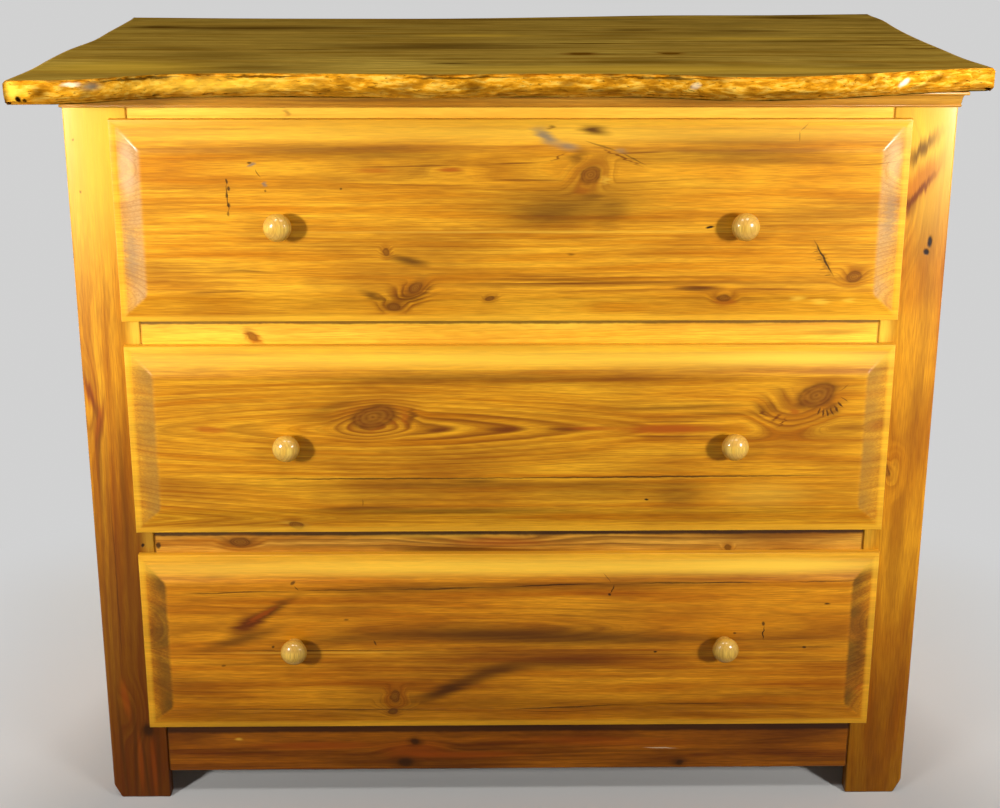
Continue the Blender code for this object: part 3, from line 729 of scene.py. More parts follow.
def new_material(name):
    material = bpy.data.materials.new(name)
    material.use_nodes = True
    tree = material.node_tree
    return material, tree, tree.nodes["Principled BSDF"]


def board_space(tree, reference, grain, inward):
    """Object coordinates turned to a board: X along the grain, Y into the show face, Z across it."""
    along, depth = Vector(grain), Vector(inward)
    turn = Matrix((along, depth, along.cross(depth))).transposed().to_euler()
    return local_space(tree, add(tree, "TexCoord", output="Object"), reference, turn)


def ellipse_reach(tree, space, along, across, half_length, half_width, tilt):
    """Distance from a tilted ellipse's centre, where 1 is its edge. It is the same at any depth."""
    deep = 50.0
    centre = (along * MM, 0, across * MM)
    turn = (0, -math.radians(tilt), 0)
    local = local_space(tree, space, centre, turn, (half_length * MM, deep, half_width * MM))
    return vector_maths(tree, "LENGTH", local, output="Value")


def drawn_out(tree, space, periods, detail, output):
    """Noise drawn out over periods in mm along, into and across the board."""
    stretched = add(tree, "Mapping", {"Vector": space, "Scale": [1 / (p * MM) for p in periods]})
    return add(tree, "TexNoise", {"Vector": stretched, "Scale": 1.0, "Detail": detail}, output)


def wandering(tree, space, periods, sway, detail=2.0):
    """A space whose points wander by up to half of sway (mm), over periods in mm."""
    noise = drawn_out(tree, space, periods, detail, "Color")
    centred = vector_maths(tree, "SUBTRACT", noise, (0.5, 0.5, 0.5))
    return vector_maths(tree, "MULTIPLY_ADD", centred, [s * MM for s in sway], space)


def streaks(tree, space, periods, low, high, detail=3.0):
    """Streaks along the grain, over periods in mm: noise spread from 0 to 1 between two levels."""
    return eased(tree, drawn_out(tree, space, periods, detail, 0), low, high)


def grain_flow(tree, space, uneven, figure):
    """The way the grain runs: place along the board, and distance from the tree's heart.

    The distance rises over buried branches, so all that is drawn by it bends round them.
    """
    across, behind, sink = figure.heart
    for place, shift in figure.joints:
        below = maths(tree, "LESS_THAN", part_of(tree, space, "Z"), place * MM)
        space = vector_maths(tree, "MULTIPLY_ADD", below, shift, space)
    drifted = wandering(tree, space, (420, 110, 110), figure.sway)
    wavy = wandering(tree, drifted, (55, 20, 20), (0, 1.4, 1.6))
    along = part_of(tree, wavy, "X")
    heart_depth = maths(tree, "MULTIPLY_ADD", along, sink * MM, behind * MM)
    heart = add(tree, "CombineXYZ", {"Y": heart_depth, "Z": across * MM})
    flat = vector_maths(tree, "MULTIPLY", wavy, (0, 1, 1))
    radius = vector_maths(tree, "DISTANCE", flat, heart, output="Value")
    if figure.cone:
        place, half_length, half_width, depth = figure.cone
        reach = ellipse_reach(tree, wavy, place, across, half_length, half_width, 0)
        radius = maths(tree, "ADD", radius, spread(tree, reach, -depth * MM, 0.0))
    swells = list(figure.swells)
    if not figure.cone:
        for place, up, length, width, tilt in figure.knots:
            around = (length * KNOT_SWELL_LENGTH, width * KNOT_SWELL_WIDTH, tilt)
            swells.append((place, up, *around, width * KNOT_SWELL_HEIGHT))
    for *ellipse, height in swells:
        reach = ellipse_reach(tree, uneven, *ellipse)
        radius = maths(tree, "ADD", radius, eased(tree, reach, 0.0, 1.0, height * MM, 0.0))
    return add(tree, "CombineXYZ", {"X": along, "Z": radius})


def year_rings(tree, flow, figure):
    """Year rings cut by the face, as thin lines and as wide bands: 0 in early wood, 1 in late wood."""
    years = maths(tree, "MULTIPLY", part_of(tree, flow, "Z"), 1 / (figure.ring * MM))
    weather = add(tree, "TexNoise", {"W": years, "Scale": 0.45, "Detail": 1.0}, noise_dimensions="1D")
    years = maths(tree, "MULTIPLY_ADD", weather, figure.uneven, years)
    season = maths(tree, "FRACT", years)
    rings = []
    thin = ((0.0, 0.20), (0.10, 0.0), (0.52, 0.08), (0.76, 0.5), (0.90, 1.0), (1.0, 0.25))
    wide = ((0.0, 0.40), (0.10, 0.0), (0.34, 0.10), (0.60, 0.6), (0.86, 1.0), (1.0, 0.45))
    for levels in (thin, wide):
        stops = [(place, (level, level, level, 1.0)) for place, level in levels]
        rings.append(add(tree, "ValToRGB", {0: season}, stops=stops))
    return rings


def largest(tree, shares):
    """The largest of some shares, or nothing where there are none."""
    most = None
    for share in shares:
        most = maths(tree, "MAXIMUM", most, share) if most else share
    return most


def soft_ellipse(tree, space, ellipse, solid, weight):
    """A share that is full inside a part of an ellipse and fades to its edge."""
    return eased(tree, ellipse_reach(tree, space, *ellipse), 1.0, solid, 0.0, weight)


def marked(tree, colour, marks, feathered, uneven):
    """A colour with stains, patches, cracks and painted light and shade on it, and the share of cracks."""
    cracks = []
    for tint, *ellipse, weight in marks:
        code, solid, feathers = TINTS[tint]
        share = soft_ellipse(tree, feathered if feathers else uneven, ellipse, solid, weight)
        colour = blend(tree, share, colour, hex_colour(code))
        if tint == "crack":
            cracks.append(share)
    return colour, largest(tree, cracks)


def knotted(tree, colour, knots, uneven, late):
    """A colour with knots on it: olive brown, in rings round a golden heart, with a dark broken rim."""
    nearest = None
    for knot in knots:
        reach = ellipse_reach(tree, uneven, *knot)
        nearest = maths(tree, "MINIMUM", nearest, reach) if nearest else reach
    places = (0.0, 0.14, 0.30, 0.46, 0.60, 0.74, 0.88, 0.97)
    codes = ("#4E2A06", "#966216", "#6E420A", "#8E5C14", "#66390A", "#7E4C0E", "#482604", "#5E3808")
    stops = list(zip(places, map(hex_colour, codes)))
    heartwood = add(tree, "ValToRGB", {0: nearest}, stops=stops)
    heartwood = blend(tree, 0.35, heartwood, late)
    halo = eased(tree, nearest, 2.6, 1.0, 0.0, 0.45)
    colour = blend(tree, halo, colour, hex_colour("#94540A"))
    patches = streaks(tree, uneven, (14, 14, 5), 0.25, 0.6)
    solid = spread(tree, patches, 0.62, 0.92)
    edge = maths(tree, "MULTIPLY", eased(tree, nearest, 1.3, 0.75), solid)
    return blend(tree, edge, colour, heartwood)


def end_grain(tree, colour, space, grain, end, late, lines):
    """End grain drinks more stain: faces across the fibres are duller, with rings and dark pores."""
    pores = streaks(tree, space, (7, 1.5, 2), 0.40, 0.75, 4.0)
    pores = maths(tree, "MULTIPLY", largest(tree, (pores, lines)), PORE_WEIGHT)
    cut_colour = blend(tree, pores, end, late)
    normal = add(tree, "TexCoord", output="Normal")
    facing = vector_maths(tree, "DOT_PRODUCT", normal, grain, output="Value")
    cut = maths(tree, "ABSOLUTE", facing)
    thirst = streaks(tree, space, (60, 60, 34), 0.30, 0.65, 2.0)
    most = spread(tree, thirst, 0.45, 0.85)
    share = maths(tree, "MULTIPLY", eased(tree, cut, 0.08, 0.34), most)
    return blend(tree, share, colour, cut_colour)


def pine_surface(tree, space, grain, tones, figure):
    """Colour, height and fibres of planed pine.

    tones: early wood, deeper stain, late wood and end grain.
    """
    early, deep, late, end = (hex_colour(tone) for tone in tones)
    # Stain creeps along the fibres, so soft marks end in feathers. Knots and cracks are a little uneven
    feathered = wandering(tree, space, (70, 30, 3.4), (26, 0, 2.6), 3.0)
    uneven = wandering(tree, space, (46, 30, 11), (7, 0, 2.6))
    uneven = wandering(tree, uneven, (9, 9, 9), (1.8, 0, 1.4))
    flow = grain_flow(tree, space, uneven, figure)
    lines, bands = year_rings(tree, flow, figure)

    tone = streaks(tree, flow, (260, 50, 7), 0.24, 0.76, 5.0)
    colour = blend(tree, tone, early, deep)
    cloud = streaks(tree, feathered, (220, 60, 36), 0.40, 0.76)
    colour = blend(tree, maths(tree, "MULTIPLY", cloud, CLOUD_WEIGHT), colour, late)
    hairs = streaks(tree, flow, (150, 50, 1.3), 0.50, 0.78)
    colour = blend(tree, maths(tree, "MULTIPLY", hairs, HAIR_WEIGHT), colour, late)

    clear = streaks(tree, feathered, (200, 60, 40), 0.30, 0.72, 2.0)
    plain = maths(tree, "MULTIPLY", spread(tree, clear, 0.08, 0.45), lines)
    bold = list(figure.bold)
    for place, up, length, width, tilt in figure.knots:
        bold.append((place, up, length * KNOT_BOLD_SIZE, width * KNOT_BOLD_SIZE, tilt, KNOT_BOLD))
    visible = plain
    if bold:
        shares = [soft_ellipse(tree, feathered, ellipse, 0.35, weight) for *ellipse, weight in bold]
        strong = maths(tree, "MULTIPLY", largest(tree, shares), bands)
        visible = maths(tree, "MAXIMUM", plain, strong)
    colour = blend(tree, visible, colour, late)

    # Fibres are a few hundredths of a mm wide; they are drawn about 1.3 mm wide so that they show
    fibre = streaks(tree, feathered, (26, 1.3, 1.3), 0.30, 0.70)
    colour = blend(tree, spread(tree, fibre, FIBRE_WEIGHT, 0.0), colour, late)

    colour = end_grain(tree, colour, space, grain, end, late, lines)
    colour, cracks = marked(tree, colour, figure.marks, feathered, uneven)
    if figure.knots:
        colour = knotted(tree, colour, figure.knots, uneven, late)

    height = maths(tree, "MULTIPLY_ADD", visible, RING_HEIGHT, fibre)
    if cracks:
        height = maths(tree, "MULTIPLY_ADD", cracks, CRACK_HEIGHT, height)
    return colour, height, fibre


def planed(tree, shader, surface, relief, roughness):
    """Gives a shader the wood's colour and relief, and a roughness that breaks up along the fibres."""
    colour, height, fibre = surface
    bump = add(tree, "Bump", {"Strength": relief, "Distance": GRAIN_DEPTH, "Height": height})
    gloss = spread(tree, fibre, *roughness)
    feed(tree, shader, {"Base Color": colour, "Normal": bump, "Roughness": gloss})


def lacquered(tree, shader, surface, coat=0.18, coat_roughness=0.22):
    """Planed wood under lacquer: a worn satin coat where no other is given."""
    planed(tree, shader, surface, FINISHED_RELIEF, FINISHED_ROUGHNESS)
    coated = {"Specular IOR Level": 0.10, "Coat Weight": coat, "Coat Roughness": coat_roughness}
    feed(tree, shader, coated)


def stained_pine(name, tones, figure, reference=(0, 0, 0), grain=ACROSS, inward=BACKWARD, lip_inside=None):
    """Pine under amber stain and lacquer: golden, with brown rings, knots and streaks.

    lip_inside is half the length and width inside a drawer front's lip, which is rubbed paler.
    """
    material, tree, shader = new_material("stained_pine_" + name)
    space = board_space(tree, reference, grain, inward)
    colour, height, fibre = pine_surface(tree, space, grain, tones, figure)
    if lip_inside:
        half_length, half_width = lip_inside
        mirrored = vector_maths(tree, "ABSOLUTE", space)
        beyond = vector_maths(tree, "SUBTRACT", mirrored, (half_length, 0, half_width))
        split = tree.nodes.new("ShaderNodeSeparateXYZ")
        tree.links.new(beyond, split.inputs[0])
        outside = largest(tree, (split.outputs["X"], split.outputs["Z"]))
        lip = add(tree, "MapRange", {0: outside, 1: -1.5 * MM, 2: 3 * MM, 3: 0.0, 4: LIP_WEIGHT})
        colour = blend(tree, lip, colour, hex_colour("#F0B830"))
    lacquered(tree, shader, (colour, height, fibre))
    return material


def plank_pine():
    """Oiled plank, quite matt: an olive gold sawn top, and a rough golden wane with brown pits of bark,
    painted darker where it turns under, as shade.
    """
    material, tree, shader = new_material("oiled_plank_pine")
    low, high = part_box("top_slab")
    space = board_space(tree, (0, 0, high.z), ACROSS, (0, 0, -1))
    tones = ("#F4CA56", "#B88626", "#5C3C08", "#B08E50")
    colour, height, fibre = pine_surface(tree, space, ACROSS, tones, PLANK_FIGURE)

    edge_space = board_space(tree, (0, 0, (low.z + high.z) / 2), ACROSS, BACKWARD)
    uneven = wandering(tree, edge_space, (14, 9, 9), (8, 4, 5), 4.0)
    sapwood = streaks(tree, uneven, (18, 4, 4), 0.22, 0.78, 5.0)
    stops = ((0.0, hex_colour("#A8680C")), (0.5, hex_colour("#DE981C")), (1.0, hex_colour("#F6C650")))
    wane = add(tree, "ValToRGB", {0: sapwood}, stops=stops)
    bark = streaks(tree, uneven, (34, 11, 11), 0.47, 0.70, 5.0)
    wane = blend(tree, maths(tree, "MULTIPLY", bark, BARK_WEIGHT), wane, hex_colour("#74440A"))
    crevice = streaks(tree, uneven, (8, 2, 2), 0.58, 0.72, 4.0)
    crevice = maths(tree, "MULTIPLY", crevice, CREVICE_WEIGHT)
    wane = blend(tree, crevice, wane, hex_colour("#3A2006"))
    # painted shade: the lower part of the edge, which turns under, is darkened
    under = eased(tree, part_of(tree, uneven, "Z"), -3 * MM, -9 * MM, 0.0, UNDERSIDE_SHADE)
    wane = blend(tree, under, wane, hex_colour("#7A4A0E"))
    wane, _ = marked(tree, wane, WANE_MARKS, uneven, uneven)

    normal = tree.nodes.new("ShaderNodeSeparateXYZ")
    tree.links.new(add(tree, "TexCoord", output="Normal"), normal.inputs[0])
    on_edge = eased(tree, maths(tree, "ABSOLUTE", normal.outputs["Z"]), 0.97, 0.85)
    on_side = eased(tree, maths(tree, "ABSOLUTE", normal.outputs["X"]), 0.88, 0.68)
    on_wane = maths(tree, "MULTIPLY", on_edge, on_side)
    colour = blend(tree, on_wane, colour, wane)
    pits = maths(tree, "MULTIPLY", largest(tree, (bark, crevice)), on_wane)
    height = maths(tree, "MULTIPLY_ADD", pits, CRACK_HEIGHT, height)
    planed(tree, shader, (colour, height, fibre), FINISHED_RELIEF, FINISHED_ROUGHNESS)
    feed(tree, shader, {"Specular IOR Level": 0.0})
    return material


def knob_pine():
    """Turned pine under clear gloss varnish: straw gold, with fine close rings."""
    material, tree, shader = new_material("varnished_knob_pine")
    space = board_space(tree, (0, 0, 0), UP, BACKWARD)
    figure = Figure(heart=(3, 30, 60), ring=3.2, sway=(0, 6, 6), uneven=0.8)
    tones = ("#F6CC56", "#DEA834", "#86560E", "#D09C3E")
    surface = pine_surface(tree, space, UP, tones, figure)
    lacquered(tree, shader, surface, coat=1.0, coat_roughness=0.16)
    return material


def bare_pine(name, grain, inward, figure=PLAIN_FIGURE):
    """Planed pine with no finish: pale cream, matt, with soft tan rings."""
    material, tree, shader = new_material("bare_pine_" + name)
    space = board_space(tree, (0, 0, 0), grain, inward)
    tones = ("#E6CB96", "#DCBB80", "#BE9456", "#CFAE74")
    surface = pine_surface(tree, space, grain, tones, figure)
    planed(tree, shader, surface, BARE_RELIEF, BARE_ROUGHNESS)
    feed(tree, shader, {"IOR": 1.5})
    return material


def dull_steel():
    """Zinc plated steel gone dull: mid grey, with cloudy patches."""
    material, tree, shader = new_material("dull_plated_steel")
    place = add(tree, "TexCoord", output="Object")
    patches = streaks(tree, place, (5, 5, 5), 0.35, 0.65)
    stops = ((0.0, hex_colour("#8A857A")), (1.0, hex_colour("#B4B0A6")))
    colour = add(tree, "ValToRGB", {0: patches}, stops=stops)
    roughness = spread(tree, patches, 0.52, 0.36)
    feed(tree, shader, {"Base Color": colour, "Roughness": roughness, "Metallic": 1.0})
    return material


def seen_directly(tree):
    """1 for rays from the camera and those that a mirror or glass passes on, 0 for light that bounces."""
    path = tree.nodes.new("ShaderNodeLightPath")
    ways = [path.outputs[way] for way in ("Is Camera Ray", "Is Glossy Ray", "Is Transmission Ray")]
    return largest(tree, ways)


def pale_floor():
    """Matt painted studio floor: pale and without gloss, fading into an even pale backdrop."""
    material, tree, shader = new_material("matt_pale_floor")
    seen = seen_directly(tree)
    shade = blend(tree, seen, hex_colour("#7C7A76"), hex_colour("#E4E2DE"))
    feed(tree, shader, {"Base Color": shade, "Roughness": 0.9, "Specular IOR Level": 0.1})
    mirrored = vector_maths(tree, "ABSOLUTE", add(tree, "TexCoord", output="Object"))
    beyond = vector_maths(tree, "SUBTRACT", mirrored, (CAD_BOX[1].x, CAD_BOX[1].y, 0))
    beyond = vector_maths(tree, "MAXIMUM", beyond, (0, 0, 0))
    away = vector_maths(tree, "LENGTH", beyond, output="Value")
    share = maths(tree, "MULTIPLY", eased(tree, away, 0.0, FLOOR_FADE), seen)
    glow = add(tree, "Emission", {"Strength": BACKDROP_LEVEL})
    floor = add(tree, "MixShader", {0: share, 1: shader.outputs[0], 2: glow})
    tree.links.new(floor, tree.nodes["Material Output"].inputs["Surface"])
    return material


def make_active(piece):
    bpy.ops.object.select_all(action="DESELECT")
    piece.select_set(True)
    bpy.context.view_layer.objects.active = piece


def select_only(piece, kind, parts, test):
    """Leaves the piece in edit mode with only those of its polygons or edges selected that pass a test."""
    bpy.ops.object.mode_set(mode="EDIT")
    bpy.ops.mesh.select_mode(type=kind)
    bpy.ops.mesh.select_all(action="DESELECT")
    bpy.ops.object.mode_set(mode="OBJECT")
    for part in getattr(piece.data, parts):
        part.select = test(part)
    bpy.ops.object.mode_set(mode="EDIT")


def select_faces(piece, test):
    select_only(piece, "FACE", "polygons", test)


def select_mitres(piece, foot):
    """Selects the mitres of a front's slope, up from its foot."""

    def is_mitre(edge):
        a, b = (piece.data.vertices[i].co for i in edge.vertices)
        run = abs(a.x - b.x)
        slanted = run > MERGE_DISTANCE and abs(run - abs(a.z - b.z)) < MERGE_DISTANCE
        rises = abs(a.y - b.y) > MERGE_DISTANCE / 10
        return slanted and rises and max(a.y, b.y) < foot + MERGE_DISTANCE

    select_only(piece, "EDGE", "edges", is_mitre)


def start_from(node):
    """A new piece from a copy of a CAD node's mesh, with its loose triangles merged into whole faces."""
    piece = bpy.data.objects.new("finished_" + node, frame["nodes"][node].data.copy())
    bpy.context.scene.collection.objects.link(piece)
    make_active(piece)
    bpy.ops.mesh.customdata_custom_splitnormals_clear()
    bpy.ops.object.mode_set(mode="EDIT")
    bpy.ops.mesh.select_all(action="SELECT")
    bpy.ops.mesh.remove_doubles(threshold=MERGE_DISTANCE)
    bpy.ops.mesh.dissolve_limited(angle_limit=FLAT_ANGLE)
    bpy.ops.mesh.normals_make_consistent(inside=False)
    bpy.ops.object.mode_set(mode="OBJECT")
    return piece


def apply_modifier(piece, kind, **settings):
    modifier = piece.modifiers.new(kind.title(), kind)
    for key, value in settings.items():
        setattr(modifier, key, value)
    bpy.ops.object.modifier_apply(modifier=modifier.name)


def finish(piece, body, material, smooth_angle):
    """Gives a piece its shading and finish, and lets it ride on a body."""
    make_active(piece)
    bpy.ops.object.shade_smooth_by_angle(angle=math.radians(smooth_angle))
    piece.data.materials.clear()
    piece.data.materials.append(material)
    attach(piece, body)


def stand_for(node):
    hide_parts(node)


def worn_board(node, material):
    """A carcass board with its sharp arrises rounded over by hand and wear."""
    piece = start_from(node)
    apply_modifier(
        piece,
        "BEVEL",
        width=ARRIS_ROUNDING,
        segments=ARRIS_SEGMENTS,
        limit_method="ANGLE",
        angle_limit=ARRIS_ANGLE,
    )
    finish(piece, "carcass", material, BOARD_SMOOTH)
    stand_for(node)


def gather(piece, name, weight=1.0):
    """Puts the selected vertices in a group of the piece, at a weight."""
    group = piece.vertex_groups.get(name) or piece.vertex_groups.new(name=name)
    piece.vertex_groups.active_index = group.index
    bpy.context.scene.tool_settings.vertex_group_weight = weight
    bpy.ops.object.vertex_group_assign()
    bpy.ops.object.mode_set(mode="OBJECT")


def roughen(piece, group, name, size, depth, direction="NORMAL"):
    """Moves a group of vertices by up to a depth, in lumps of about a size."""
    texture = bpy.data.textures.new(name, "CLOUDS")
    texture.noise_scale = size
    apply_modifier(
        piece,
        "DISPLACE",
        texture=texture,
        direction=direction,
        strength=depth,
        mid_level=0,
        vertex_group=group,
    )


def live_edge_plank():
    """The plank: a flat top, and a rough waney edge that turns under, all inside the sawn outline."""
    piece = start_from("top_slab")
    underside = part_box("top_slab")[0].z
    # A narrow ring inside the edge keeps the shading of the broad faces flat
    select_faces(piece, lambda face: abs(face.normal.z) > PLANK_FLAT_TILT)
    bpy.ops.mesh.inset(thickness=FLAT_MARGIN)

    def on_edge(face):
        return abs(face.normal.z) < PLANK_EDGE_TILT

    select_faces(piece, on_edge)
    bpy.ops.mesh.subdivide(number_cuts=WANE_CUTS)
    select_faces(piece, lambda face: on_edge(face) and abs(face.normal.y) > WANE_FACING)
    bpy.ops.mesh.select_less()
    gather(piece, "wane")
    ways = {"front_undercut": 1, "back_undercut": -1}
    for group, way in ways.items():
        for step in range(WANE_UNDERCUT_STEPS):
            top = underside + WANE_UNDERCUT_HEIGHT * (1 - step / WANE_UNDERCUT_STEPS)

            def turns_under(face):
                return on_edge(face) and face.center.z < top and -way * face.normal.y > UNDERCUT_FACING

            select_faces(piece, turns_under)
            gather(piece, group, ((step + 1) / WANE_UNDERCUT_STEPS) ** 2)
    roughen(piece, "wane", "wane_lumps", WANE_LUMP_SIZE, -WANE_LUMP_DEPTH)
    roughen(piece, "wane", "wane_pits", WANE_PIT_SIZE, -WANE_PIT_DEPTH)
    for group, way in ways.items():
        roughen(piece, group, "wane_undercut", WANE_UNDERCUT_SIZE, way * WANE_UNDERCUT, "Y")
    finish(piece, "carcass", plank_pine(), PLANK_SMOOTH)
    stand_for("top_slab")


def fielded_front(drawer, material):
    """A drawer front: a lip with an eased arris, then a mitred slope that rounds into the flat field."""
    node = drawer + "_front"
    low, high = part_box(node)
    middle = (low + high) / 2
    lip_face = high.y - LIP_THICKNESS
    bpy.ops.object.select_all(action="DESELECT")
    bpy.ops.mesh.primitive_cube_add(
        size=1,
        location=(middle.x, (high.y + lip_face) / 2, middle.z),
        scale=(high.x - low.x, LIP_THICKNESS, high.z - low.z),
    )
    piece = bpy.context.active_object
    piece.name = "finished_" + node
    bpy.ops.object.transform_apply(location=True, rotation=True, scale=True)
    select_faces(piece, lambda face: face.normal.y < -FIELD_FACING)
    bpy.ops.mesh.bevel(offset=LIP_EASE, segments=LIP_EASE_STEPS, affect="EDGES")
    select_faces(piece, lambda face: face.normal.y < -FIELD_FACING)
    bpy.ops.mesh.inset(thickness=LIP_WIDTH - LIP_EASE)
    rise = lip_face - low.y - FIELD_ROUNDING * (1 - math.cos(FIELD_SLOPE))
    bpy.ops.mesh.inset(thickness=rise / math.tan(FIELD_SLOPE), depth=rise)
    for step in range(FIELD_ROUNDING_STEPS):
        steep = FIELD_SLOPE * (1 - step / FIELD_ROUNDING_STEPS)
        flatter = FIELD_SLOPE * (1 - (step + 1) / FIELD_ROUNDING_STEPS)
        bpy.ops.mesh.inset(
            thickness=FIELD_ROUNDING * (math.sin(steep) - math.sin(flatter)),
            depth=FIELD_ROUNDING * (math.cos(flatter) - math.cos(steep)),
        )
    bpy.ops.mesh.inset(thickness=FLAT_MARGIN)
    select_mitres(piece, lip_face)
    bpy.ops.mesh.bevel(
        offset=MITRE_ROUNDING, segments=MITRE_ROUNDING_STEPS, affect="EDGES", clamp_overlap=False
    )
    bpy.ops.object.mode_set(mode="OBJECT")
    finish(piece, drawer, material, FRONT_SMOOTH)
    stand_for(node)


def pulled_rings(place, radius, sides, way, rings):
    """A round solid on an upright face: a disc pulled out ring by ring, forwards (-1) or backwards (1).

    rings: how far each is pulled from the one before, and its size as a share of that one's.
    """
    bpy.ops.object.select_all(action="DESELECT")
    bpy.ops.mesh.primitive_circle_add(
        vertices=sides,
        radius=radius,
        fill_type="NGON",
        location=place,
        rotation=(-way * math.pi / 2, 0, 0),
    )
    piece = bpy.context.active_object
    bpy.ops.object.transform_apply(location=True, rotation=True, scale=True)
    bpy.ops.object.mode_set(mode="EDIT")
    bpy.ops.mesh.select_all(action="SELECT")
    for reach, growth in rings:
        bpy.ops.mesh.extrude_region_move(TRANSFORM_OT_translate={"value": (0, way * reach, 0)})
        bpy.ops.transform.resize(value=(growth, 1, growth), center_override=place)
    bpy.ops.mesh.select_all(action="SELECT")
    bpy.ops.mesh.normals_make_consistent(inside=False)
    bpy.ops.object.mode_set(mode="OBJECT")
    return piece


def quarter(centre, radii, start, end):
    """Points on a quarter of an ellipse, after its first one, from one angle in degrees to another."""
    angles = [math.radians(start + (end - start) * (i + 1) / KNOB_STEPS) for i in range(KNOB_STEPS)]
    return [(centre[0] + radii[0] * math.cos(a), centre[1] + radii[1] * math.sin(a)) for a in angles]


def turned_knob(drawer, side, material):
    """A knob turned from its base round a hollow neck to a domed head."""
    node = f"{drawer}_{side}_knob"
    low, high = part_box(node)
    centre = (low + high) / 2
    head = (high.z - low.z) / 2
    projection = high.y - low.y
    neck = (KNOB_BASE_RADIUS - KNOB_NECK_RADIUS, KNOB_NECK_REACH - KNOB_BASE_THICKNESS)
    under = (head - KNOB_NECK_RADIUS, KNOB_WIDEST_REACH - KNOB_NECK_REACH)
    profile = [(KNOB_BASE_RADIUS, 0.0), (KNOB_BASE_RADIUS, KNOB_BASE_THICKNESS)]
    profile += quarter((KNOB_BASE_RADIUS, KNOB_NECK_REACH), neck, -90, -180)
    profile += quarter((KNOB_NECK_RADIUS, KNOB_WIDEST_REACH), under, -90, 0)
    profile += quarter((0.0, KNOB_WIDEST_REACH), (head, projection - KNOB_WIDEST_REACH), 0, 90)
    profile[-1] = (KNOB_TIP_RADIUS, projection)
    rings = []
    for (radius, out), (next_radius, next_out) in zip(profile, profile[1:]):
        rings.append((next_out - out, next_radius / radius))
    piece = pulled_rings((centre.x, high.y, centre.z), KNOB_BASE_RADIUS, KNOB_SIDES, -1, rings)
    piece.name = "finished_" + node
    finish(piece, drawer, material, KNOB_SMOOTH)
    stand_for(node)


def round_head(place, radius, height):
    """A domed head that stands on a face and looks back (+Y)."""
    rings = [(rise * height, growth) for rise, growth in HEAD_RINGS]
    return pulled_rings(place, radius, HEAD_SIDES, 1, rings)


def slotted(piece, place):
    """Cuts a screwdriver's slot across a head."""
    bpy.ops.mesh.primitive_cube_add(
        size=1,
        location=place + Vector((0, SCREW_HEIGHT, 0)),
        scale=(4 * SCREW_RADIUS, 2 * SCREW_SLOT_DEPTH, SCREW_SLOT_WIDTH),
    )
    cutter = bpy.context.active_object
    make_active(piece)
    apply_modifier(piece, "BOOLEAN", operation="DIFFERENCE", object=cutter)
    bpy.data.objects.remove(cutter)


def joined(pieces, name):
    bpy.ops.object.select_all(action="DESELECT")
    for piece in pieces:
        piece.select_set(True)
    bpy.context.view_layer.objects.active = pieces[0]
    bpy.ops.object.join()
    pieces[0].name = name
    return pieces[0]


def drawer_screws(drawer, steel):
    """Inside a drawer: one screw behind each knob, and four that hold the front to its box."""
    low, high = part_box(drawer + "_box_front")
    knobs = [(a + b) / 2 for a, b in (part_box(f"{drawer}_{side}_knob") for side in SIDES)]
    places = [Vector((knob.x, high.y, knob.z)) for knob in knobs]
    for x in (low.x + SCREW_IN_FROM_END, high.x - SCREW_IN_FROM_END):
        for z in (low.z + SCREW_IN_FROM_EDGE, high.z - SCREW_IN_FROM_EDGE):
            places.append(Vector((x, high.y, z)))
    heads = []
    for place in places:
        head = round_head(place, SCREW_RADIUS, SCREW_HEIGHT)
        slotted(head, place)
        heads.append(head)
    finish(joined(heads, drawer + "_screws"), drawer, steel, HEAD_SMOOTH)


def back_nails(steel):
    """Two nails at each end of each back board."""
    heads = []
    for board in BACK_BOARDS:
        low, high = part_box(board)
        quarter_in = (high.x - low.x) / 4
        for x in (low.x + quarter_in, high.x - quarter_in):
            for z in (low.z + NAIL_IN_FROM_END, high.z - NAIL_IN_FROM_END):
                heads.append(round_head(Vector((x, high.y, z)), NAIL_RADIUS, NAIL_HEIGHT))
    finish(joined(heads, "back_nails"), "carcass", steel, HEAD_SMOOTH)


def dress_face_frame():
    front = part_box("left_front_stile")[0].y
    tones = ("#D8961C", "#A86006", "#683004", "#7A4E10")
    for side, figure in zip(SIDES, (LEFT_STILE_FIGURE, RIGHT_STILE_FIGURE)):
        wood = stained_pine(side + "_stile", tones, figure, (0, front, 0), UP)
        worn_board(side + "_front_stile", wood)
    rails = {
        # The rails darken towards the floor: partly the wood's own tone, partly painted shade for the
        # light that falls off there
        "top_rail": (("#FAC848", "#F0B030", "#B8740E", "#B88A34"), TOP_RAIL_FIGURE),
        "upper_drawer_rail": (("#FAC840", "#F2B02C", "#B46E0E", "#B88A34"), UPPER_RAIL_FIGURE),
        "lower_drawer_rail": (("#EAAE3E", "#B0660C", "#5E3006", "#7A4E10"), LOWER_RAIL_FIGURE),
        "bottom_rail": (("#BE6E12", "#6E3004", "#3C1902", "#4E2C06"), BOTTOM_RAIL_FIGURE),
    }
    for node, (tones, figure) in rails.items():
        low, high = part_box(node)
        wood = stained_pine(node, tones, figure, (0, front, (low.z + high.z) / 2))
        worn_board(node, wood)


def dress_mouldings():
    tones = ("#C88E2C", "#AE7216", "#6E4008", "#B88A34")
    along_front = stained_pine("front_moulding", tones, MOULDING_FIGURE)
    along_side = stained_pine("side_mouldings", tones, PLAIN_FIGURE, grain=BACKWARD, inward=ACROSS)
    for node, wood in zip(("front", *SIDES), (along_front, along_side, along_side)):
        worn_board("bed_moulding_" + node, wood)


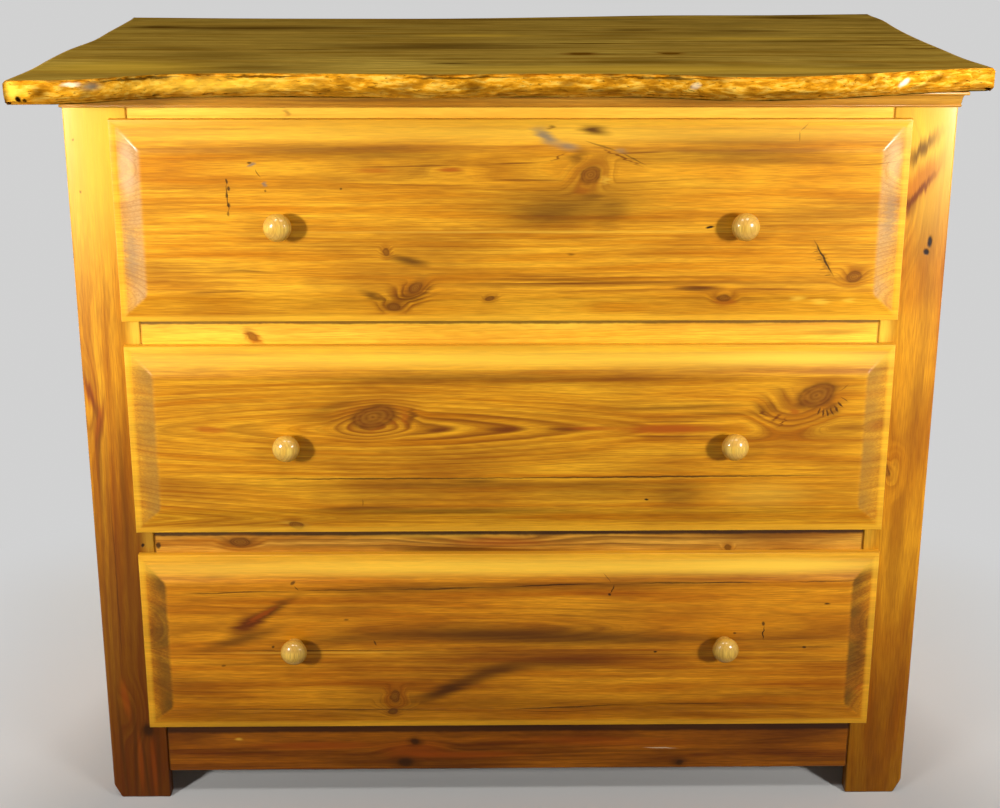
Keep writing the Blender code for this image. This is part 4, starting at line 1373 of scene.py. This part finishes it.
def dress_sides():
    tones = ("#DC9C22", "#BE780C", "#7A3E06", "#7A4E10")
    uprights = stained_pine("side_stiles", tones, PLAIN_FIGURE, grain=UP, inward=ACROSS)
    rails = stained_pine("side_rails", tones, PLAIN_FIGURE, grain=BACKWARD, inward=ACROSS)
    panels = stained_pine("side_panels", tones, PANEL_FIGURE, grain=UP, inward=ACROSS)
    pieces = {
        "front_stile": uprights,
        "rear_stile": uprights,
        "top_rail": rails,
        "bottom_rail": rails,
        "panel": panels,
    }
    for side in SIDES:
        for name, wood in pieces.items():
            worn_board(f"{side}_side_{name}", wood)


def dress_drawers():
    looks = {
        # The last tone, the end grain, is paler on the top drawer as painted sheen on its end slopes, and
        # dark on the bottom drawer, partly its own tone and partly painted shade
        "top_drawer": (("#F0B028", "#C67808", "#743A04", "#B48C58"), TOP_FRONT_FIGURE),
        "middle_drawer": (("#EAAA22", "#BA6E06", "#6C3204", "#946C28"), MIDDLE_FRONT_FIGURE),
        "bottom_drawer": (("#EEA01E", "#B86406", "#5C2602", "#4E380A"), BOTTOM_FRONT_FIGURE),
    }
    knob_wood = knob_pine()
    steel = dull_steel()
    for drawer, (tones, figure) in looks.items():
        low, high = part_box(drawer + "_front")
        middle = (low + high) / 2
        lip_inside = ((high.x - low.x) / 2 - LIP_WIDTH, (high.z - low.z) / 2 - LIP_WIDTH)
        reference = (middle.x, low.y, middle.z)
        fielded_front(drawer, stained_pine(drawer, tones, figure, reference, lip_inside=lip_inside))
        for side in SIDES:
            turned_knob(drawer, side, knob_wood)
        drawer_screws(drawer, steel)
    back_nails(steel)


def dress_hidden_boards():
    """The boards that stay as the CAD made them: drawer boxes, runners, kickers and the back."""
    lengthwise = bare_pine("across", ACROSS, BACKWARD)
    front_to_back = bare_pine("front_to_back", BACKWARD, ACROSS)
    # Each back board is cut from another part of the plank, and a dark line shows where two meet
    meetings = []
    for left, right in zip(BACK_BOARDS, BACK_BOARDS[1:]):
        meetings.append(-(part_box(left)[1].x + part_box(right)[0].x) / 2 / MM)
    figure = PLAIN_FIGURE._replace(
        joints=[(place, BACK_BOARD_SHIFT) for place in meetings],
        marks=[("crack", 450, place, 2000, 0.8, 0, 0.6) for place in meetings],
    )
    upright = bare_pine("upright", UP, BACKWARD, figure)
    for name, node in frame["nodes"].items():
        if name in BACK_BOARDS:
            wood = upright
        elif name.endswith(("runner", "kicker", "drawer_left_side", "drawer_right_side")):
            wood = front_to_back
        else:
            wood = lengthwise
        node.material_slots[0].material = wood


def add_lamp(name, place, aim, width, height, power, spread=math.pi):
    data = bpy.data.lights.new(name, "AREA")
    data.shape = "RECTANGLE"
    data.size = width
    data.size_y = height
    data.energy = power
    data.spread = spread
    lamp = bpy.data.objects.new(name, data)
    lamp.location = place
    lamp.rotation_euler = (Vector(aim) - lamp.location).to_track_quat("-Z", "Y").to_euler()
    bpy.context.scene.collection.objects.link(lamp)


def floor_and_lamps():
    bpy.ops.object.select_all(action="DESELECT")
    bpy.ops.mesh.primitive_plane_add(size=2 * FLOOR_HALF)
    floor = bpy.context.active_object
    floor.name = "studio_floor"
    floor.data.materials.append(pale_floor())
    for side, way in zip(SIDES, (-1, 1)):
        place = (way * LAMP_SIDE, LAMP_FRONT, LAMP_HEIGHT)
        aim = (way * LAMP_AIM_SIDE, LAMP_AIM_FRONT, LAMP_AIM_HEIGHT)
        add_lamp(side + "_soft_box", place, aim, LAMP_WIDTH, LAMP_TALL, LAMP_POWER, LAMP_SPREAD)
        place = (way * FILL_SIDE, FILL_FRONT, FILL_HEIGHT)
        add_lamp(side + "_overhead_box", place, FILL_AIM, FILL_SIZE, FILL_SIZE, FILL_POWER, FILL_SPREAD)
    add_lamp("back_box", BACK_PLACE, BACK_AIM, BACK_SIZE, BACK_SIZE, BACK_POWER)
    world = bpy.data.worlds.new("studio")
    world.use_nodes = True
    bpy.context.scene.world = world
    tree = world.node_tree
    # A weak glow from the ceiling lights the top; what is seen directly is the pale backdrop
    way_up = part_of(tree, add(tree, "TexCoord", output="Generated"), "Z")
    glow = add(tree, "MapRange", {0: way_up, 1: 0.3, 2: 1.0, 3: WORLD_LIGHT, 4: CEILING_LIGHT})
    level = add(tree, "Mix", {0: seen_directly(tree), 2: glow, 3: BACKDROP_LEVEL})
    feed(tree, tree.nodes["Background"], {"Strength": level, "Color": (1, 1, 1, 1)})


def camera():
    data = bpy.data.cameras.new("photo_camera")
    data.lens = CAMERA_LENS
    data.sensor_width = CAMERA_SENSOR
    data.sensor_fit = "HORIZONTAL"
    viewer = bpy.data.objects.new("photo_camera", data)
    turn = Matrix.Rotation(CAMERA_YAW, 4, "Z") @ Matrix.Rotation(math.pi / 2 - CAMERA_PITCH, 4, "X")
    viewer.matrix_world = Matrix.Translation(CAMERA_PLACE) @ turn @ Matrix.Rotation(CAMERA_ROLL, 4, "Z")
    bpy.context.scene.collection.objects.link(viewer)
    bpy.context.scene.camera = viewer


bpy.context.scene.view_settings.view_transform = "Standard"
camera()
floor_and_lamps()
dress_hidden_boards()
live_edge_plank()
dress_mouldings()
dress_face_frame()
dress_sides()
dress_drawers()
